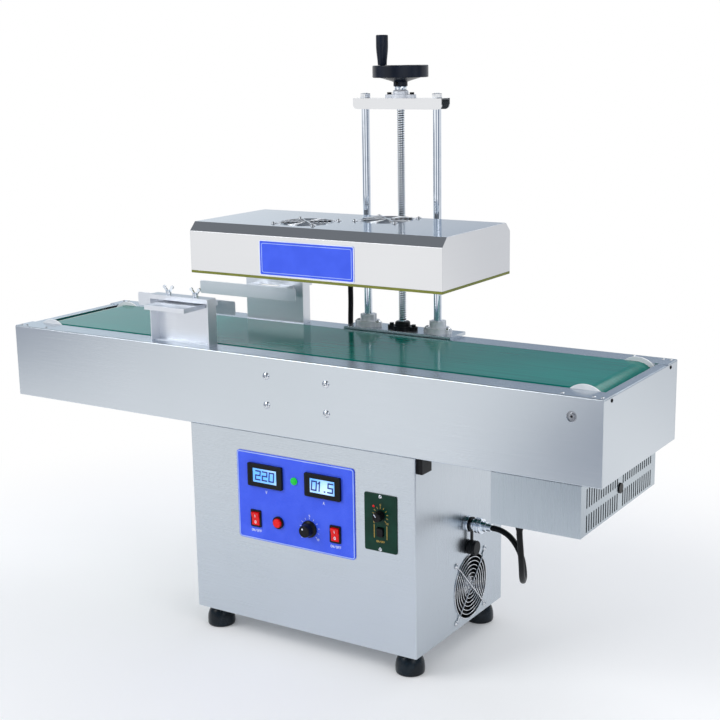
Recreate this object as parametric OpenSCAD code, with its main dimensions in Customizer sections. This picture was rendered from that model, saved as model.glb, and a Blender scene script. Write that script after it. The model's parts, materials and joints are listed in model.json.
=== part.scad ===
// Induction cap sealer: a belt conveyor on a control cabinet, with a sealing
// head that a handwheel raises and lowers on two posts behind the belt.
// Millimetres, +Z up, origin on the floor under the middle of the conveyor.

/* [Conveyor] */
// Length of the conveyor body
conveyor_l = 1200; // [1100:10:1600]
// Width of the conveyor body
conveyor_w = 310; // [290:5:380]
// Height of the conveyor's side panels
panel_h = 136; // [120:1:160]
// Height of the rail tops above the floor
rail_z = 520; // [500:5:620]
// Thickness of the folded sheet steel
sheet = 1.5; // [1:0.1:2]
// Width of each rail beside the belt
rail_w = 45; // [40:1:52]
// Gap between a rail and the belt's edge
belt_gap = 5; // [3:0.5:8]
// Thickness of the belt
belt_t = 2.5; // [1.5:0.1:3.5]
// Height of the belt's top above the rails
belt_rise = 1; // [0:0.1:2]
// Distance from each end of the conveyor to its roller axle
axle_inset = 50; // [46:1:65]
// Depth of the roller axles below the rail tops
axle_drop = 31; // [29:1:34]
// Diameter of the roller shafts
roller_shaft_d = 15; // [12:1:17]

/* [Cabinet] */
// Width of the cabinet
cabinet_w = 459; // [440:1:520]
// Offset of the cabinet's middle from the conveyor's middle
cabinet_x = 53.5; // [40:0.5:65]
// Height of the rubber feet
foot_h = 39; // [28:1:50]
// Diameter of the rubber feet
foot_d = 50; // [40:1:56]
// Distance from the cabinet's sides to the middle of a foot
foot_inset = 29; // [29:1:45]
// Size of the cabinet's cooling fan
cabinet_fan = 120; // [110:1:130]
// Thickness of both kinds of fan
fan_t = 25; // [20:1:30]

/* [Console] */
// Width of the blue instrument plate
console_w = 242; // [236:1:260]
// Height of the blue instrument plate
console_h = 159; // [150:1:180]
// Thickness of the instrument plate
console_t = 2; // [1:0.5:3]
// Width of a panel meter's bezel
meter_w = 72; // [64:1:80]
// Height of a panel meter's bezel
meter_h = 41; // [36:1:48]
// Width of a rocker switch's bezel
rocker_w = 22; // [18:1:25]
// Height of a rocker switch's bezel
rocker_h = 31; // [26:1:34]
// Diameter of the power knob
power_knob_d = 30; // [24:1:34]
// Width of the speed controller's plate
speed_w = 62; // [56:1:68]
// Height of the speed controller's plate
speed_h = 99; // [94:1:110]

/* [Column] */
// Offset of the lead screw from the conveyor's middle
column_x = 90; // [70:1:110]
// Distance between the two guide posts
post_pitch = 146; // [136:1:160]
// Diameter of the guide posts
post_d = 15; // [12:1:16]
// Diameter of the lead screw
screw_d = 14; // [12:1:16]
// Distance of the posts from the conveyor's rear face
post_inset = 20; // [18:1:24]
// Height from the rail tops to the crossbar
column_h = 400; // [390:5:480]
// Diameter of the handwheel
wheel_d = 98; // [90:1:120]

/* [Sealing head] */
// Length of the head
head_l = 500; // [480:5:560]
// Depth of the head
head_d = 235; // [230:1:245]
// Height of the head with its base board
head_h = 88; // [80:1:100]
// Width of the chamfers along the head's top
head_chamfer = 15; // [10:1:16]
// Height of the head's underside above the rails
head_rise = 128; // [120:1:160]
// Thickness of the base board under the coil
board_t = 4.5; // [3:0.5:6]
// Size of the head's cooling fans
head_fan = 92; // [86:1:96]

/* [Bottle guides] */
// Width of a guide bracket
bracket_w = 132; // [126:1:140]
// Height of a guide bracket
bracket_h = 84; // [78:1:90]
// Depth of a guide bracket
bracket_d = 23; // [22:1:26]
// Width of a guide's sliding arm
arm_w = 90; // [84:1:96]
// Length of a guide strip
strip_l = 226; // [180:1:260]
// Height of a guide strip
strip_h = 25; // [20:1:30]

/* [Motor box] */
// Length of the motor box along the conveyor
box_l = 150; // [144:1:170]
// Depth of the motor box below the side panels
box_h = 83; // [80:1:95]
// Distance of the motor box from the conveyor's end
box_inset = 32; // [28:1:40]
// Number of slots in each group of vents
vent_n = 14; // [8:1:14]
// Distance between vent slots
vent_pitch = 9.3; // [7:0.1:9.4]
// Width of a vent slot
vent_w = 4; // [3:0.1:5]

/* [Hidden] */
$fn = 64;

// Clearances: a shaft in its bore, a moving face beside another, a seated piece in its hole
fit = 0.05;
gap = 0.3;
seat = 0.1;

// Levels and outer faces of the conveyor and cabinet
rail_y = conveyor_w / 2;
panel_z = rail_z - panel_h;
end_x = conveyor_l / 2;
axle_x = end_x - axle_inset;
axle_z = rail_z - axle_drop;
belt_w = conveyor_w - 2 * (rail_w + belt_gap);
belt_r = axle_drop + belt_rise;
belt_bore = belt_r - belt_t;
roller_r = belt_bore - gap;
bed_z = rail_z + belt_rise - belt_t;
web_y = rail_y - sheet;
rail_lip = 8;
panel_flange = 25;
bend_r = 2;
end_reach = 18;

// Cross bars that hold the bed and the sides, with their screws
bar = 25;
bar_x = [-7, 114.5];
bed_bar_z = rail_z - 33;
base_bar_z = rail_z - 83.5;
screw_hole_r = 3;
screw_head_r = 6.5;

// Roller ends
bearing_r = 20;
bearing_t = 12;
shaft_r = roller_shaft_d / 2;
shaft_tip_r = shaft_r - 2.5;
tip_hole_r = shaft_r + 1;
roller_over = 0.5;
roller_flange_r = 39;
roller_flange_t = belt_gap - 1;
pulley_r = 20;
pulley_t = 12;
pulley_y = belt_w / 2 + belt_gap + 1;
pulley_rim = 2;

// Motor box and drive
box_x1 = end_x - box_inset;
box_x0 = box_x1 - box_l;
box_z = panel_z - box_h;
motor_r = 35;
motor_x = box_x0 + box_l / 2;
motor_z = box_z + sheet + motor_r;
motor_shaft_r = 6;
drive_belt_t = 5;
drive_belt_w = 8;
gearbox_l = 42;
motor_l = 120;
vent_inner = 10;
plug_r = 7;
plug_z = box_z + 37;
box_screw_dx = 60;
vent_rows = [[box_z + 4, 27], [box_z + 42, 31]];

// Radius of a fan's opening as a share of its frame
fan_hole = 0.48;

// Cabinet
cab_x0 = cabinet_x - cabinet_w / 2;
cab_x1 = cabinet_x + cabinet_w / 2;
cab_y = -rail_y;
inverter_l = 200;
inverter_w = 140;
inverter_h = 60;
inverter_base = 12;
inverter_x = 120;
fin_n = 10;
fin_t = 4;
foot_lip = 3;
foot_dome = 12;
cab_fan_y = 34;
cab_fan_z = foot_h + 65;
connector_y = 27;
connector_z = foot_h + 181;
connector_neck_r = 10;
gland_z = panel_z - 44;
gland_x = [cab_x0 + 26, cab_x1 - 103];

// Console
speed_margin = 34;
speed_gap = 19;
speed_x = cab_x1 - speed_margin - speed_w / 2;
console_x = speed_x - speed_w / 2 - speed_gap - console_w / 2;
console_z = panel_z - 34 - console_h / 2;
console_y = cab_y - console_t;
meter_dx = 59.5;
row_dz = 40;
rocker_dx = 82.5;
button_dx = -35;
knob_dx = 29.5;
lamp_r = 5;
button_r = 8;
bezel_t = 2.5;
bezel_rim = 3;
rocker_tilt = 7;
rocker_t = 4;
rocker_pivot_r = 2.5;
key_w = rocker_w - 2 * bezel_rim;
key_h = rocker_h - 2 * bezel_rim;
meter_t = 5;
power_knob_t = 18;
speed_z = panel_z - 118.5;
speed_t = 2;
speed_knob_r = 9;
speed_knob_t = 14;
speed_knob_dz = 13.5;
speed_rocker_dz = -15;
speed_key_w = 12;
speed_key_h = 16;

// Column
column_y = rail_y - post_inset;
plate_t = 6;
plate_z = rail_z + plate_t;
plate_reach = 39;
post_r = post_d / 2;
screw_r = screw_d / 2;
flange_h = 22;
flange_bolt_dx = 20;
lug_r = 8;
lug_h = 8;
nut_h = 8;
bar_z = rail_z + column_h;
bar_h = 19;
bar_d = 30;
bar_t = 3;
bar_corner = 8;
bar_reach = 17;
bar_top = bar_z + bar_h;
stud_r = 5;
collar_t = 4;
top_bearing_h = 14;
low_bearing_h = 15;
bearing_base = 6;
bearing_dome_r = 14;
bearing_dx = 23;
bearing_lug_r = 7.5;
collar_z = bar_top + top_bearing_h + gap;
wheel_z = collar_z + 6;
wheel_h = 36;
crank_r = wheel_d / 2 - 12;
crank_pin_r = 4;
grip_h = 52;
grip_r = 10.7;
grip_foot_r = 8;
rim_h = 21;
rim_t = 12;
web_t = 7;
hub_r = 12.5;

// Head
head_x = column_x - 21.5;
head_yb = column_y - 28;
head_yf = head_yb - head_d;
head_z = rail_z + head_rise;
shell_z = head_z + board_t;
head_top = head_z + head_h;
head_fan_xy = [[column_x - 84, head_yf + 85], [column_x + 24, head_yb - 62]];
coil_margin = 50;
coil_w = 120;
coil_t = 14;
coil_band = 30;
block_z = head_z + 14;
block_h = 40;
block_t = 6;
bush_r = 12;
nut_r = 12;
head_gland_x = -42;
head_gland_z = head_z + 42;
gland_l = 17;
gland_r = 8;

// Bottle guides
front_guide_x = -207;
rear_guide_x = -182;
bracket_y = rail_y - 40;
bracket_z = rail_z + bracket_h;
arm_drop = 12;
arm_z = bracket_z - arm_drop;
arm_lip = 8;
arm_y0 = rail_y + 22;
front_strip_y = 75;
rear_strip_y = 85;
wing_dx = 30.5;
wing_r = 2.5;

// Routes of the two cables
cable_r = 5;
entry_r = cable_r + 3;
entry_h = 10;
motor_route = [[329, 27, 220], [345, 26, 219], [364, 22, 213], [382, 14, 201], [397, 2, 187],
    [408, -13, 175], [417, -30, 169], [424, -48, 170], [431, -65, 178], [437, -80, 192],
    [442, -92, 210], [445, -101, 232], [446, -107, 256], [446, -110, 276], [446, -110, 291]];
head_route = [[-42, 125, 690], [-42, 141, 688], [-42, 155, 680], [-42, 164, 666], [-42, 167, 648],
    [-42, 168, 620], [-43, 168, 590], [-43, 168, 560], [-44, 168, 530], [-45, 169, 500],
    [-46, 170, 470], [-47, 171, 440], [-48, 172, 410], [-50, 174, 380], [-52, 177, 350],
    [-54, 180, 320], [-58, 184, 292], [-66, 189, 267], [-79, 194, 248], [-96, 198, 240],
    [-114, 202, 244], [-130, 205, 258], [-141, 207, 278], [-147, 208, 298], [-150, 205, 318],
    [-150, 196, 332], [-150, 184, 339], [-150, 173, 340]];

// Building blocks

module block(lo, hi) {
  translate(lo) cube(hi - lo);
}

module rounded(w, h, r) {
  square([w - 2 * r, h], center = true);
  square([w, h - 2 * r], center = true);
  for (x = [-1, 1], y = [-1, 1]) translate([x * (w / 2 - r), y * (h / 2 - r)]) circle(r);
}

module ring(r, bore) {
  difference() {
    circle(r);
    circle(bore);
  }
}

// What is left of a square corner outside its bend
module bend(r) {
  difference() {
    square(r);
    translate([r, r]) circle(r);
  }
}

// Extrude a profile drawn in Y and Z along X
module along_x(x0, x1) {
  translate([x0, 0, 0]) rotate([90, 0, 90]) linear_extrude(x1 - x0) children();
}

// Extrude a profile drawn in X and Z along Y
module along_y(y0, y1) {
  translate([0, y1, 0]) rotate([90, 0, 0]) linear_extrude(y1 - y0) children();
}

// Stand a piece on a face that looks to the front, the right or the rear
module on_front(x, y, z) {
  translate([x, y, z]) rotate([90, 0, 0]) children();
}

module on_right(x, y, z) {
  translate([x, y, z]) rotate([90, 0, 90]) children();
}

module on_rear(x, y, z) {
  translate([x, y, z]) rotate([90, 0, 180]) children();
}

// A dome-headed screw that stands on a face, with its shank below
module dome_screw(r, shank_r, shank_l) {
  rotate_extrude() {
    intersection() {
      translate([0, r * 0.55 - r * 1.2]) circle(r * 1.2);
      square([r, r]);
    }
    translate([0, -shank_l]) square([shank_r, shank_l]);
  }
}

// Places of the dome screws on a side panel, as X and Z
panel_screws = [for (x = bar_x, z = [bed_bar_z, base_bar_z]) [x, z]];

// A tube swept along a list of points
function unit(v) = v / norm(v);
function tangent(p, i) = unit(p[min(i + 1, len(p) - 1)] - p[max(i - 1, 0)]);
function side_of(t) = unit(cross(t, abs(t[0]) < 0.8 ? [1, 0, 0] : [0, 1, 0]));
function carried(n, t) = unit(n - (n * t) * t);
function sides(p, i) = i == 0 ? [side_of(tangent(p, 0))]
    : let (before = sides(p, i - 1)) concat(before, [carried(before[i - 1], tangent(p, i))]);

module swept_tube(p, r, n) {
  side = sides(p, len(p) - 1);
  rings = [for (i = [0 : len(p) - 1]) let (t = tangent(p, i), a = side[i], b = cross(t, a))
      for (k = [0 : n - 1]) p[i] + r * (cos(360 * k / n) * a + sin(360 * k / n) * b)];
  last = (len(p) - 1) * n;
  polyhedron(rings, concat(
      [[for (k = [0 : n - 1]) k]],
      [[for (k = [n - 1 : -1 : 0]) last + k]],
      [for (i = [0 : len(p) - 2], k = [0 : n - 1]) let (m = (k + 1) % n)
          [i * n + k, (i + 1) * n + k, (i + 1) * n + m, i * n + m]]));
}

// Conveyor

module side_profile() {
  difference() {
    polygon([[-rail_y, panel_z], [-rail_y + panel_flange, panel_z],
        [-rail_y + panel_flange, panel_z + sheet], [-web_y, panel_z + sheet],
        [-web_y, rail_z - sheet], [-rail_y + rail_w - sheet, rail_z - sheet],
        [-rail_y + rail_w - sheet, rail_z - rail_lip], [-rail_y + rail_w, rail_z - rail_lip],
        [-rail_y + rail_w, rail_z], [-rail_y, rail_z]]);
    translate([-rail_y, rail_z]) mirror([0, 1]) bend(bend_r);
    translate([-rail_y, panel_z]) bend(bend_r);
  }
}

module side_panel() {
  difference() {
    along_x(-end_x, end_x) side_profile();
    for (p = panel_screws) on_front(p[0], -web_y, p[1])
      cylinder(r = screw_hole_r, h = 3 * sheet, center = true);
    on_front(axle_x, -web_y, axle_z) cylinder(r = tip_hole_r, h = 3 * sheet, center = true);
    for (x = [motor_x - box_screw_dx, motor_x + box_screw_dx])
      translate([x, -rail_y + panel_flange / 2, panel_z])
        cylinder(r = screw_hole_r, h = 3 * sheet, center = true);
    for (s = [0, 1]) mirror([s, 0, 0]) end_cuts();
  }
}

// Where a side panel's lip and flange stop short of the end plate
module end_cuts() {
  block([end_x - end_reach - seat, -web_y, rail_z - rail_lip - 1],
    [end_x + 1, -rail_y + rail_w + 1, rail_z - sheet]);
  block([end_x - sheet - seat, -web_y, panel_z - 1],
    [end_x + 1, -rail_y + panel_flange + 1, panel_z + sheet + 1]);
}

module front_side_panel() {
  color("silver") side_panel();
}

module rear_side_panel() {
  color("silver") difference() {
    mirror([0, 1, 0]) side_panel();
    for (x = column_bolt_x) translate([x, column_y, rail_z])
      cylinder(r = screw_hole_r, h = 3 * sheet, center = true);
  }
}

module end_plates() {
  top = rail_z - sheet;
  color("silver") for (s = [0, 1]) mirror([s, 0, 0]) difference() {
    union() {
      block([end_x - sheet, -web_y, panel_z], [end_x, web_y, top]);
      block([end_x - end_reach, -web_y, top - sheet], [end_x, web_y, top]);
    }
    translate([end_x, 0, top]) rotate([90, 90, 0])
      linear_extrude(conveyor_w, center = true) mirror([0, 1]) bend(bend_r);
  }
}

module conveyor_belt() {
  color("seagreen") along_y(-belt_w / 2, belt_w / 2) difference() {
    belt_loop(belt_r);
    belt_loop(belt_bore);
  }
}

module belt_loop(r) {
  translate([0, axle_z]) {
    square([2 * axle_x, 2 * r], center = true);
    for (s = [-1, 1]) translate([s * axle_x, 0]) circle(r);
  }
}

module bed_frame() {
  bed_t = 2;
  bed_w = belt_w - 4;
  bed_x = axle_x - belt_r - 15;
  flange = bed_z - bed_bar_z - bar / 2;
  color("darkgray") {
    along_x(-bed_x, bed_x) difference() {
      translate([-bed_w / 2, bed_z - flange]) square([bed_w, flange]);
      translate([-bed_w / 2 + bed_t, bed_z - flange]) square([bed_w - 2 * bed_t, flange - bed_t]);
    }
    for (x = concat(bar_x, [-bed_x + bar, bed_x - bar])) cross_bar(x, bed_bar_z);
    for (x = bar_x) cross_bar(x, base_bar_z);
  }
}

module cross_bar(x, z) {
  difference() {
    translate([x, 0, z]) cube([bar, 2 * web_y, bar], center = true);
    for (s = [-1, 1]) translate([x, s * web_y, z]) rotate([90, 0, 0])
      cylinder(r = screw_hole_r, h = 2 * bar, center = true);
  }
}

module roller_bearings() {
  color("gainsboro") for (x = [-axle_x, axle_x], s = [0, 1]) mirror([0, s, 0])
    translate([x, 0, axle_z]) along_y(-web_y, -web_y + bearing_t) ring(bearing_r, shaft_r + fit);
}

module roller(tip) {
  half = belt_w / 2 + roller_over;
  along_y(-half, half) circle(roller_r);
  along_y(-web_y + gap, web_y - gap) circle(shaft_r);
  for (y = [-half - roller_flange_t, half]) along_y(y, y + roller_flange_t) circle(roller_flange_r);
  if (tip) along_y(-rail_y, rail_y) circle(shaft_tip_r);
}

module drive_roller() {
  color("white") translate([axle_x, 0, axle_z]) {
    roller(true);
    grooved_pulley();
  }
}

module idler_roller() {
  color("white") translate([-axle_x, 0, axle_z]) roller(false);
}

// A pulley about Y with rims beside its belt
module grooved_pulley() {
  rim = (pulley_t - drive_belt_w) / 2 - gap;
  along_y(pulley_y, pulley_y + pulley_t) circle(pulley_r);
  for (y = [pulley_y, pulley_y + pulley_t - rim]) along_y(y, y + rim) circle(pulley_r + pulley_rim);
}

module motor_box() {
  wall = 2 * sheet;
  color("silver") difference() {
    block([box_x0, -rail_y, box_z], [box_x1, rail_y, panel_z]);
    block([box_x0 + sheet, -web_y, box_z + sheet], [box_x1 - sheet, web_y, panel_z + 1]);
    for (row = vent_rows, s = [-1, 1], i = [0 : vent_n - 1]) {
      y = s * (vent_inner + vent_w / 2 + i * vent_pitch);
      translate([box_x1 - wall, y - vent_w / 2, row[0]]) cube([2 * wall, vent_w, row[1]]);
    }
    translate([motor_route[14][0], motor_route[14][1], box_z])
      cylinder(r = entry_r, h = 2 * wall, center = true);
    on_right(box_x1, 0, plug_z) cylinder(r = plug_r, h = 2 * wall, center = true);
  }
}

module gear_motor() {
  face_y = pulley_y - 4;
  color("dimgray") difference() {
    union() {
      translate([motor_x, 0, motor_z]) {
        along_y(face_y - gearbox_l - motor_l, face_y - gearbox_l) circle(motor_r - 1);
        along_y(face_y - gearbox_l, face_y) rounded(2 * motor_r, 2 * motor_r, 6);
      }
      block([motor_x - 30, face_y - gearbox_l - motor_l + 12, box_z + sheet],
          [motor_x + 30, face_y - gearbox_l - 12, motor_z - motor_r / 2]);
    }
    translate([motor_x, 0, motor_z]) along_y(face_y - 25, face_y + 1) circle(motor_shaft_r + fit);
  }
}

module motor_pulley() {
  color("silver") translate([motor_x, 0, motor_z]) {
    grooved_pulley();
    along_y(pulley_y - 28, pulley_y + pulley_t + 3) circle(motor_shaft_r);
  }
}

// The belt's outline round both pulleys, grown by a thickness
module drive_loop(grow) {
  way = [axle_x - motor_x, axle_z - motor_z];
  r = pulley_r + grow;
  translate([motor_x, motor_z]) rotate(atan2(way[1], way[0])) {
    translate([0, -r]) square([norm(way), 2 * r]);
    circle(r);
    translate([norm(way), 0]) circle(r);
  }
}

module drive_belt() {
  y = pulley_y + (pulley_t - drive_belt_w) / 2;
  color("black") along_y(y, y + drive_belt_w) difference() {
    drive_loop(gap + drive_belt_t);
    drive_loop(gap);
  }
}

// Cabinet

module cabinet_shell() {
  color("silver") difference() {
    translate([cabinet_x, 0, foot_h]) linear_extrude(panel_z - foot_h) rounded(cabinet_w, conveyor_w, bend_r);
    block([cab_x0 + sheet, cab_y + sheet, foot_h + sheet], [cab_x1 - sheet, rail_y + 1, panel_z - sheet]);
    on_right(cab_x1, cab_fan_y, cab_fan_z) cylinder(r = cabinet_fan * fan_hole, h = 4 * sheet, center = true);
    on_right(cab_x1, connector_y, connector_z) cylinder(r = 9, h = 4 * sheet, center = true);
    rocker_holes();
  }
}

module cabinet_rear_panel() {
  color("silver") difference() {
    block([cab_x0 + sheet + seat, web_y, foot_h + sheet + seat],
      [cab_x1 - sheet - seat, rail_y, panel_z - sheet - seat]);
    for (x = gland_x) on_rear(x, rail_y, gland_z) cylinder(r = gland_r, h = 4 * sheet, center = true);
  }
}

module rubber_feet() {
  r = foot_d / 2;
  color("#10202c") for (x = [cab_x0 + foot_inset, cab_x1 - foot_inset], s = [-1, 1])
    translate([x, s * (rail_y - foot_inset), 0]) rotate_extrude() {
      square([r - foot_lip, foot_lip]);
      translate([r - foot_lip, foot_lip]) circle(foot_lip);
      translate([0, foot_lip]) square([r, foot_h - foot_lip - foot_dome]);
      translate([r - foot_dome, foot_h - foot_dome]) circle(foot_dome);
      square([r - foot_dome, foot_h]);
    }
}

module inverter_module() {
  z = foot_h + sheet;
  color("dimgray") translate([cabinet_x - inverter_x, -inverter_w / 2, z]) {
    cube([inverter_l, inverter_w, inverter_base]);
    for (i = [0 : fin_n - 1]) translate([i * (inverter_l - fin_t) / (fin_n - 1), 0, 0])
      cube([fin_t, inverter_w, inverter_h]);
  }
}

// Console on the cabinet's front

// Cut-outs for the rockers, through whatever carries them
module rocker_holes() {
  for (p = [[-rocker_dx, key_w, key_h], [rocker_dx, key_w, key_h]])
    on_front(console_x + p[0], cab_y, console_z - row_dz)
      cube([p[1], p[2], 4 * (sheet + console_t)], center = true);
  on_front(speed_x, cab_y, speed_z + speed_rocker_dz)
    cube([speed_key_w, speed_key_h, 4 * (sheet + speed_t)], center = true);
}

module control_panel() {
  color("royalblue") difference() {
    on_front(console_x, cab_y, console_z) linear_extrude(console_t) rounded(console_w, console_h, 6);
    rocker_holes();
  }
}

module panel_meters() {
  color("#1d2026") for (s = [-1, 1]) on_front(console_x + s * meter_dx, console_y, console_z + row_dz)
    difference() {
    linear_extrude(meter_t) rounded(meter_w, meter_h, 2);
    translate([0, 0, meter_t - 1.5]) linear_extrude(meter_t)
      square([meter_w - 12, meter_h - 12], center = true);
  }
}

module indicator_lamp() {
  color("limegreen") on_front(console_x, console_y, console_z + row_dz) {
    cylinder(r = lamp_r + 1.5, h = 2);
    translate([0, 0, 2]) intersection() {
      translate([0, 0, -lamp_r * 0.4]) sphere(lamp_r * 1.08);
      cylinder(r = lamp_r * 1.08, h = lamp_r);
    }
  }
}

module switch_bezels() {
  color("#15171a") {
    for (s = [-1, 1]) on_front(console_x + s * rocker_dx, console_y, console_z - row_dz)
      linear_extrude(bezel_t)
      difference() {
        rounded(rocker_w, rocker_h, 2);
        square([key_w, key_h], center = true);
      }
    on_front(console_x + button_dx, console_y, console_z - row_dz) linear_extrude(bezel_t + 1)
      ring(button_r + 3, button_r + gap);
  }
}

// A rocker's key in its cut-out: two faces that meet over its pivot, with one side pressed
module rocker_key(w, h) {
  half = h / 2 - 1;
  rotate([rocker_tilt, 0, 0]) rotate([90, 0, 90]) linear_extrude(w - 2 * gap, center = true) {
    polygon([[-half, -1.5], [half, -1.5], [half, rocker_t + 0.7], [0, rocker_t - 0.7],
      [-half, rocker_t + 0.7]]);
    circle(rocker_pivot_r);
  }
}

module console_rocker(s) {
  color("crimson") on_front(console_x + s * rocker_dx, console_y, console_z - row_dz)
    rocker_key(key_w, key_h);
}

module power_rocker() {
  console_rocker(-1);
}

module start_rocker() {
  console_rocker(1);
}

module reset_button() {
  color("crimson") on_front(console_x + button_dx, console_y - 2.5, console_z - row_dz) rotate_extrude() {
    square([button_r, 4]);
    translate([0, 4]) square([button_r - 1, 1]);
  }
}

module power_knob() {
  r = power_knob_d / 2;
  color("#15171a") on_front(console_x + knob_dx, console_y - gap, console_z - row_dz) {
    rotate_extrude() polygon([[0, 0], [r, 0], [r, 3], [r - 3.5, 6], [r - 4.5, power_knob_t - 1],
        [r - 5.5, power_knob_t], [0, power_knob_t]]);
    rotate(225) translate([r - 5, -2, 0]) cube([7, 4, 5]);
  }
}

module speed_controller() {
  color("#17382b") difference() {
    on_front(speed_x, cab_y, speed_z) linear_extrude(speed_t) rounded(speed_w, speed_h, 3);
    rocker_holes();
  }
}

module speed_knob() {
  color("#15171a") on_front(speed_x, cab_y - speed_t - gap, speed_z + speed_knob_dz) rotate_extrude()
    polygon([[0, 0], [speed_knob_r, 0], [speed_knob_r - 1, speed_knob_t - 1],
        [speed_knob_r - 2, speed_knob_t], [0, speed_knob_t]]);
}

module speed_rocker() {
  color("#15171a") on_front(speed_x, cab_y - speed_t, speed_z + speed_rocker_dz)
    rocker_key(speed_key_w, speed_key_h);
}

// Fans: drawn about Z, with the guard's side up at z = 0

module fan_frame(size) {
  translate([0, 0, -fan_t]) {
    difference() {
      linear_extrude(fan_t) rounded(size, size, size * 0.06);
      translate([0, 0, -1]) cylinder(r = size * fan_hole, h = fan_t + 2);
    }
    difference() {
      linear_extrude(3) {
        circle(size * 0.17);
        for (a = [45, 165, 285]) rotate(a) translate([0, -3]) square([size * fan_hole + 1, 6]);
      }
      translate([0, 0, -1]) cylinder(r = 2 + fit, h = 5);
    }
  }
}

module fan_rotor(size) {
  hub = size * 0.17;
  blade_w = size * 0.2;
  tip = sqrt(pow(size * fan_hole - 1.5, 2) - pow(blade_w / 2, 2));
  translate([0, 0, -fan_t]) {
    translate([0, 0, 4]) cylinder(r = hub, h = fan_t - 7);
    cylinder(r = 2, h = 5);
    for (i = [0 : 6]) rotate(i * 360 / 7) translate([hub - 2, 0, fan_t / 2 + 0.5]) rotate([38, 0, 0])
      translate([0, -blade_w / 2, -0.75]) cube([tip - hub + 2, blade_w, 1.5]);
  }
}

module fan_guard(size) {
  wire = 2;
  screw = size * 0.4365;
  linear_extrude(wire) {
    for (r = [size * 0.1 : size * 0.085 : size * 0.5]) ring(r, r - wire);
    difference() {
      for (a = [45, 135]) rotate(a) square([2 * screw * sqrt(2), 3], center = true);
      circle(size * 0.1 - 1);
    }
    for (x = [-1, 1], y = [-1, 1]) translate([x * screw, y * screw]) ring(5, 2.2);
  }
}

module cabinet_fan_frame() {
  color("#22262a") on_right(cab_x1 - sheet, cab_fan_y, cab_fan_z) fan_frame(cabinet_fan);
}

module cabinet_fan_rotor() {
  color("#22262a") on_right(cab_x1 - sheet, cab_fan_y, cab_fan_z) fan_rotor(cabinet_fan);
}

module cabinet_fan_guard() {
  color("gainsboro") on_right(cab_x1, cab_fan_y, cab_fan_z) fan_guard(cabinet_fan);
}

// Cables and their fittings

module cable_connector() {
  steps = [[14, 4], [connector_neck_r, 10], [13.5, 14], [9, 8], [7, 9.2]];
  color("gainsboro") on_right(cab_x1, connector_y, connector_z) for (i = [0 : len(steps) - 1])
    translate([0, 0, sum_before(steps, i)]) cylinder(r = steps[i][0], h = steps[i][1]);
}

function sum_before(v, i) = i == 0 ? 0 : v[i - 1][1] + sum_before(v, i - 1);

module dust_cap() {
  color("#15171a") on_right(cab_x1 + 5, connector_y, connector_z) {
    linear_extrude(3) {
      difference() {
        union() {
          circle(13);
          translate([-3, -38]) square([6, 30]);
        }
        circle(connector_neck_r + seat);
      }
    }
    translate([0, -42, -4]) cylinder(r = 12, h = 16);
  }
}

module motor_cable() {
  color("#101214") swept_tube(motor_route, cable_r, 10);
}

// A gland on a sheet's outer side, with a hexagon and a dome nut
module gland() {
  translate([0, 0, -2 * sheet]) cylinder(r = gland_r - seat, h = 2 * sheet);
  cylinder(r = gland_r + 5, h = 6, $fn = 6);
  translate([0, 0, 6]) cylinder(r = gland_r + 2, h = gland_l - 8);
  translate([0, 0, gland_l - 2]) cylinder(r = gland_r, h = 2);
}

module cable_glands() {
  color("#15171a") {
    for (x = gland_x) on_rear(x, rail_y, gland_z) gland();
    translate([motor_route[14][0], motor_route[14][1], box_z - entry_h]) {
      cylinder(r = entry_r + 2, h = entry_h);
      cylinder(r = entry_r - seat, h = entry_h + sheet);
    }
    on_right(box_x1, 0, plug_z) {
      cylinder(r = plug_r + 1.5, h = 2);
      translate([0, 0, -sheet]) cylinder(r = plug_r - seat, h = sheet);
    }
    block([cab_x1, -rail_y + 6, panel_z - 27], [cab_x1 + 10, -rail_y + 36, panel_z]);
  }
}

module head_gland() {
  color("#15171a") on_rear(head_gland_x, head_yb, head_gland_z) gland();
}

module head_cable() {
  color("#101214") swept_tube(head_route, cable_r, 10);
}

// Column

column_bolt_x = [for (s = [-1, 1], b = [-1, 1]) column_x + s * post_pitch / 2 + b * flange_bolt_dx];

module column_base_plate() {
  half = post_pitch / 2 + plate_reach;
  color("gray") difference() {
    block([column_x - half, rail_y - rail_w, rail_z], [column_x + half, rail_y + 12, plate_z]);
    for (x = column_bolt_x) translate([x, column_y, rail_z - 1]) cylinder(r = screw_hole_r, h = plate_t + 2);
  }
}

module guide_posts() {
  color("gainsboro") for (s = [-1, 1]) translate([column_x + s * post_pitch / 2, column_y, 0]) {
    translate([0, 0, plate_z]) cylinder(r = post_r, h = bar_top - bar_t - plate_z);
    translate([0, 0, bar_top - bar_t]) cylinder(r = stud_r, h = bar_t + nut_h + 1);
  }
}

module column_flanges() {
  color("lightgray") {
    for (s = [-1, 1]) translate([column_x + s * post_pitch / 2, column_y, plate_z]) difference() {
      union() {
        cylinder(r = 21, h = 10);
        cylinder(r = 15, h = flange_h);
        for (b = [-1, 1]) translate([b * flange_bolt_dx, 0, 0]) cylinder(r = lug_r, h = lug_h);
      }
      translate([0, 0, -1]) cylinder(r = post_r + seat, h = flange_h + 2);
      for (b = [-1, 1]) translate([b * flange_bolt_dx, 0, -1]) cylinder(r = screw_hole_r, h = flange_h + 2);
      for (b = [-1, 1]) translate([b * flange_bolt_dx, 0, lug_h]) cylinder(r = screw_head_r + gap, h = flange_h);
    }
    translate([column_x, column_y, plate_z]) bearing_flange(low_bearing_h);
    translate([column_x, column_y, bar_top]) bearing_flange(top_bearing_h);
  }
}

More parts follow.
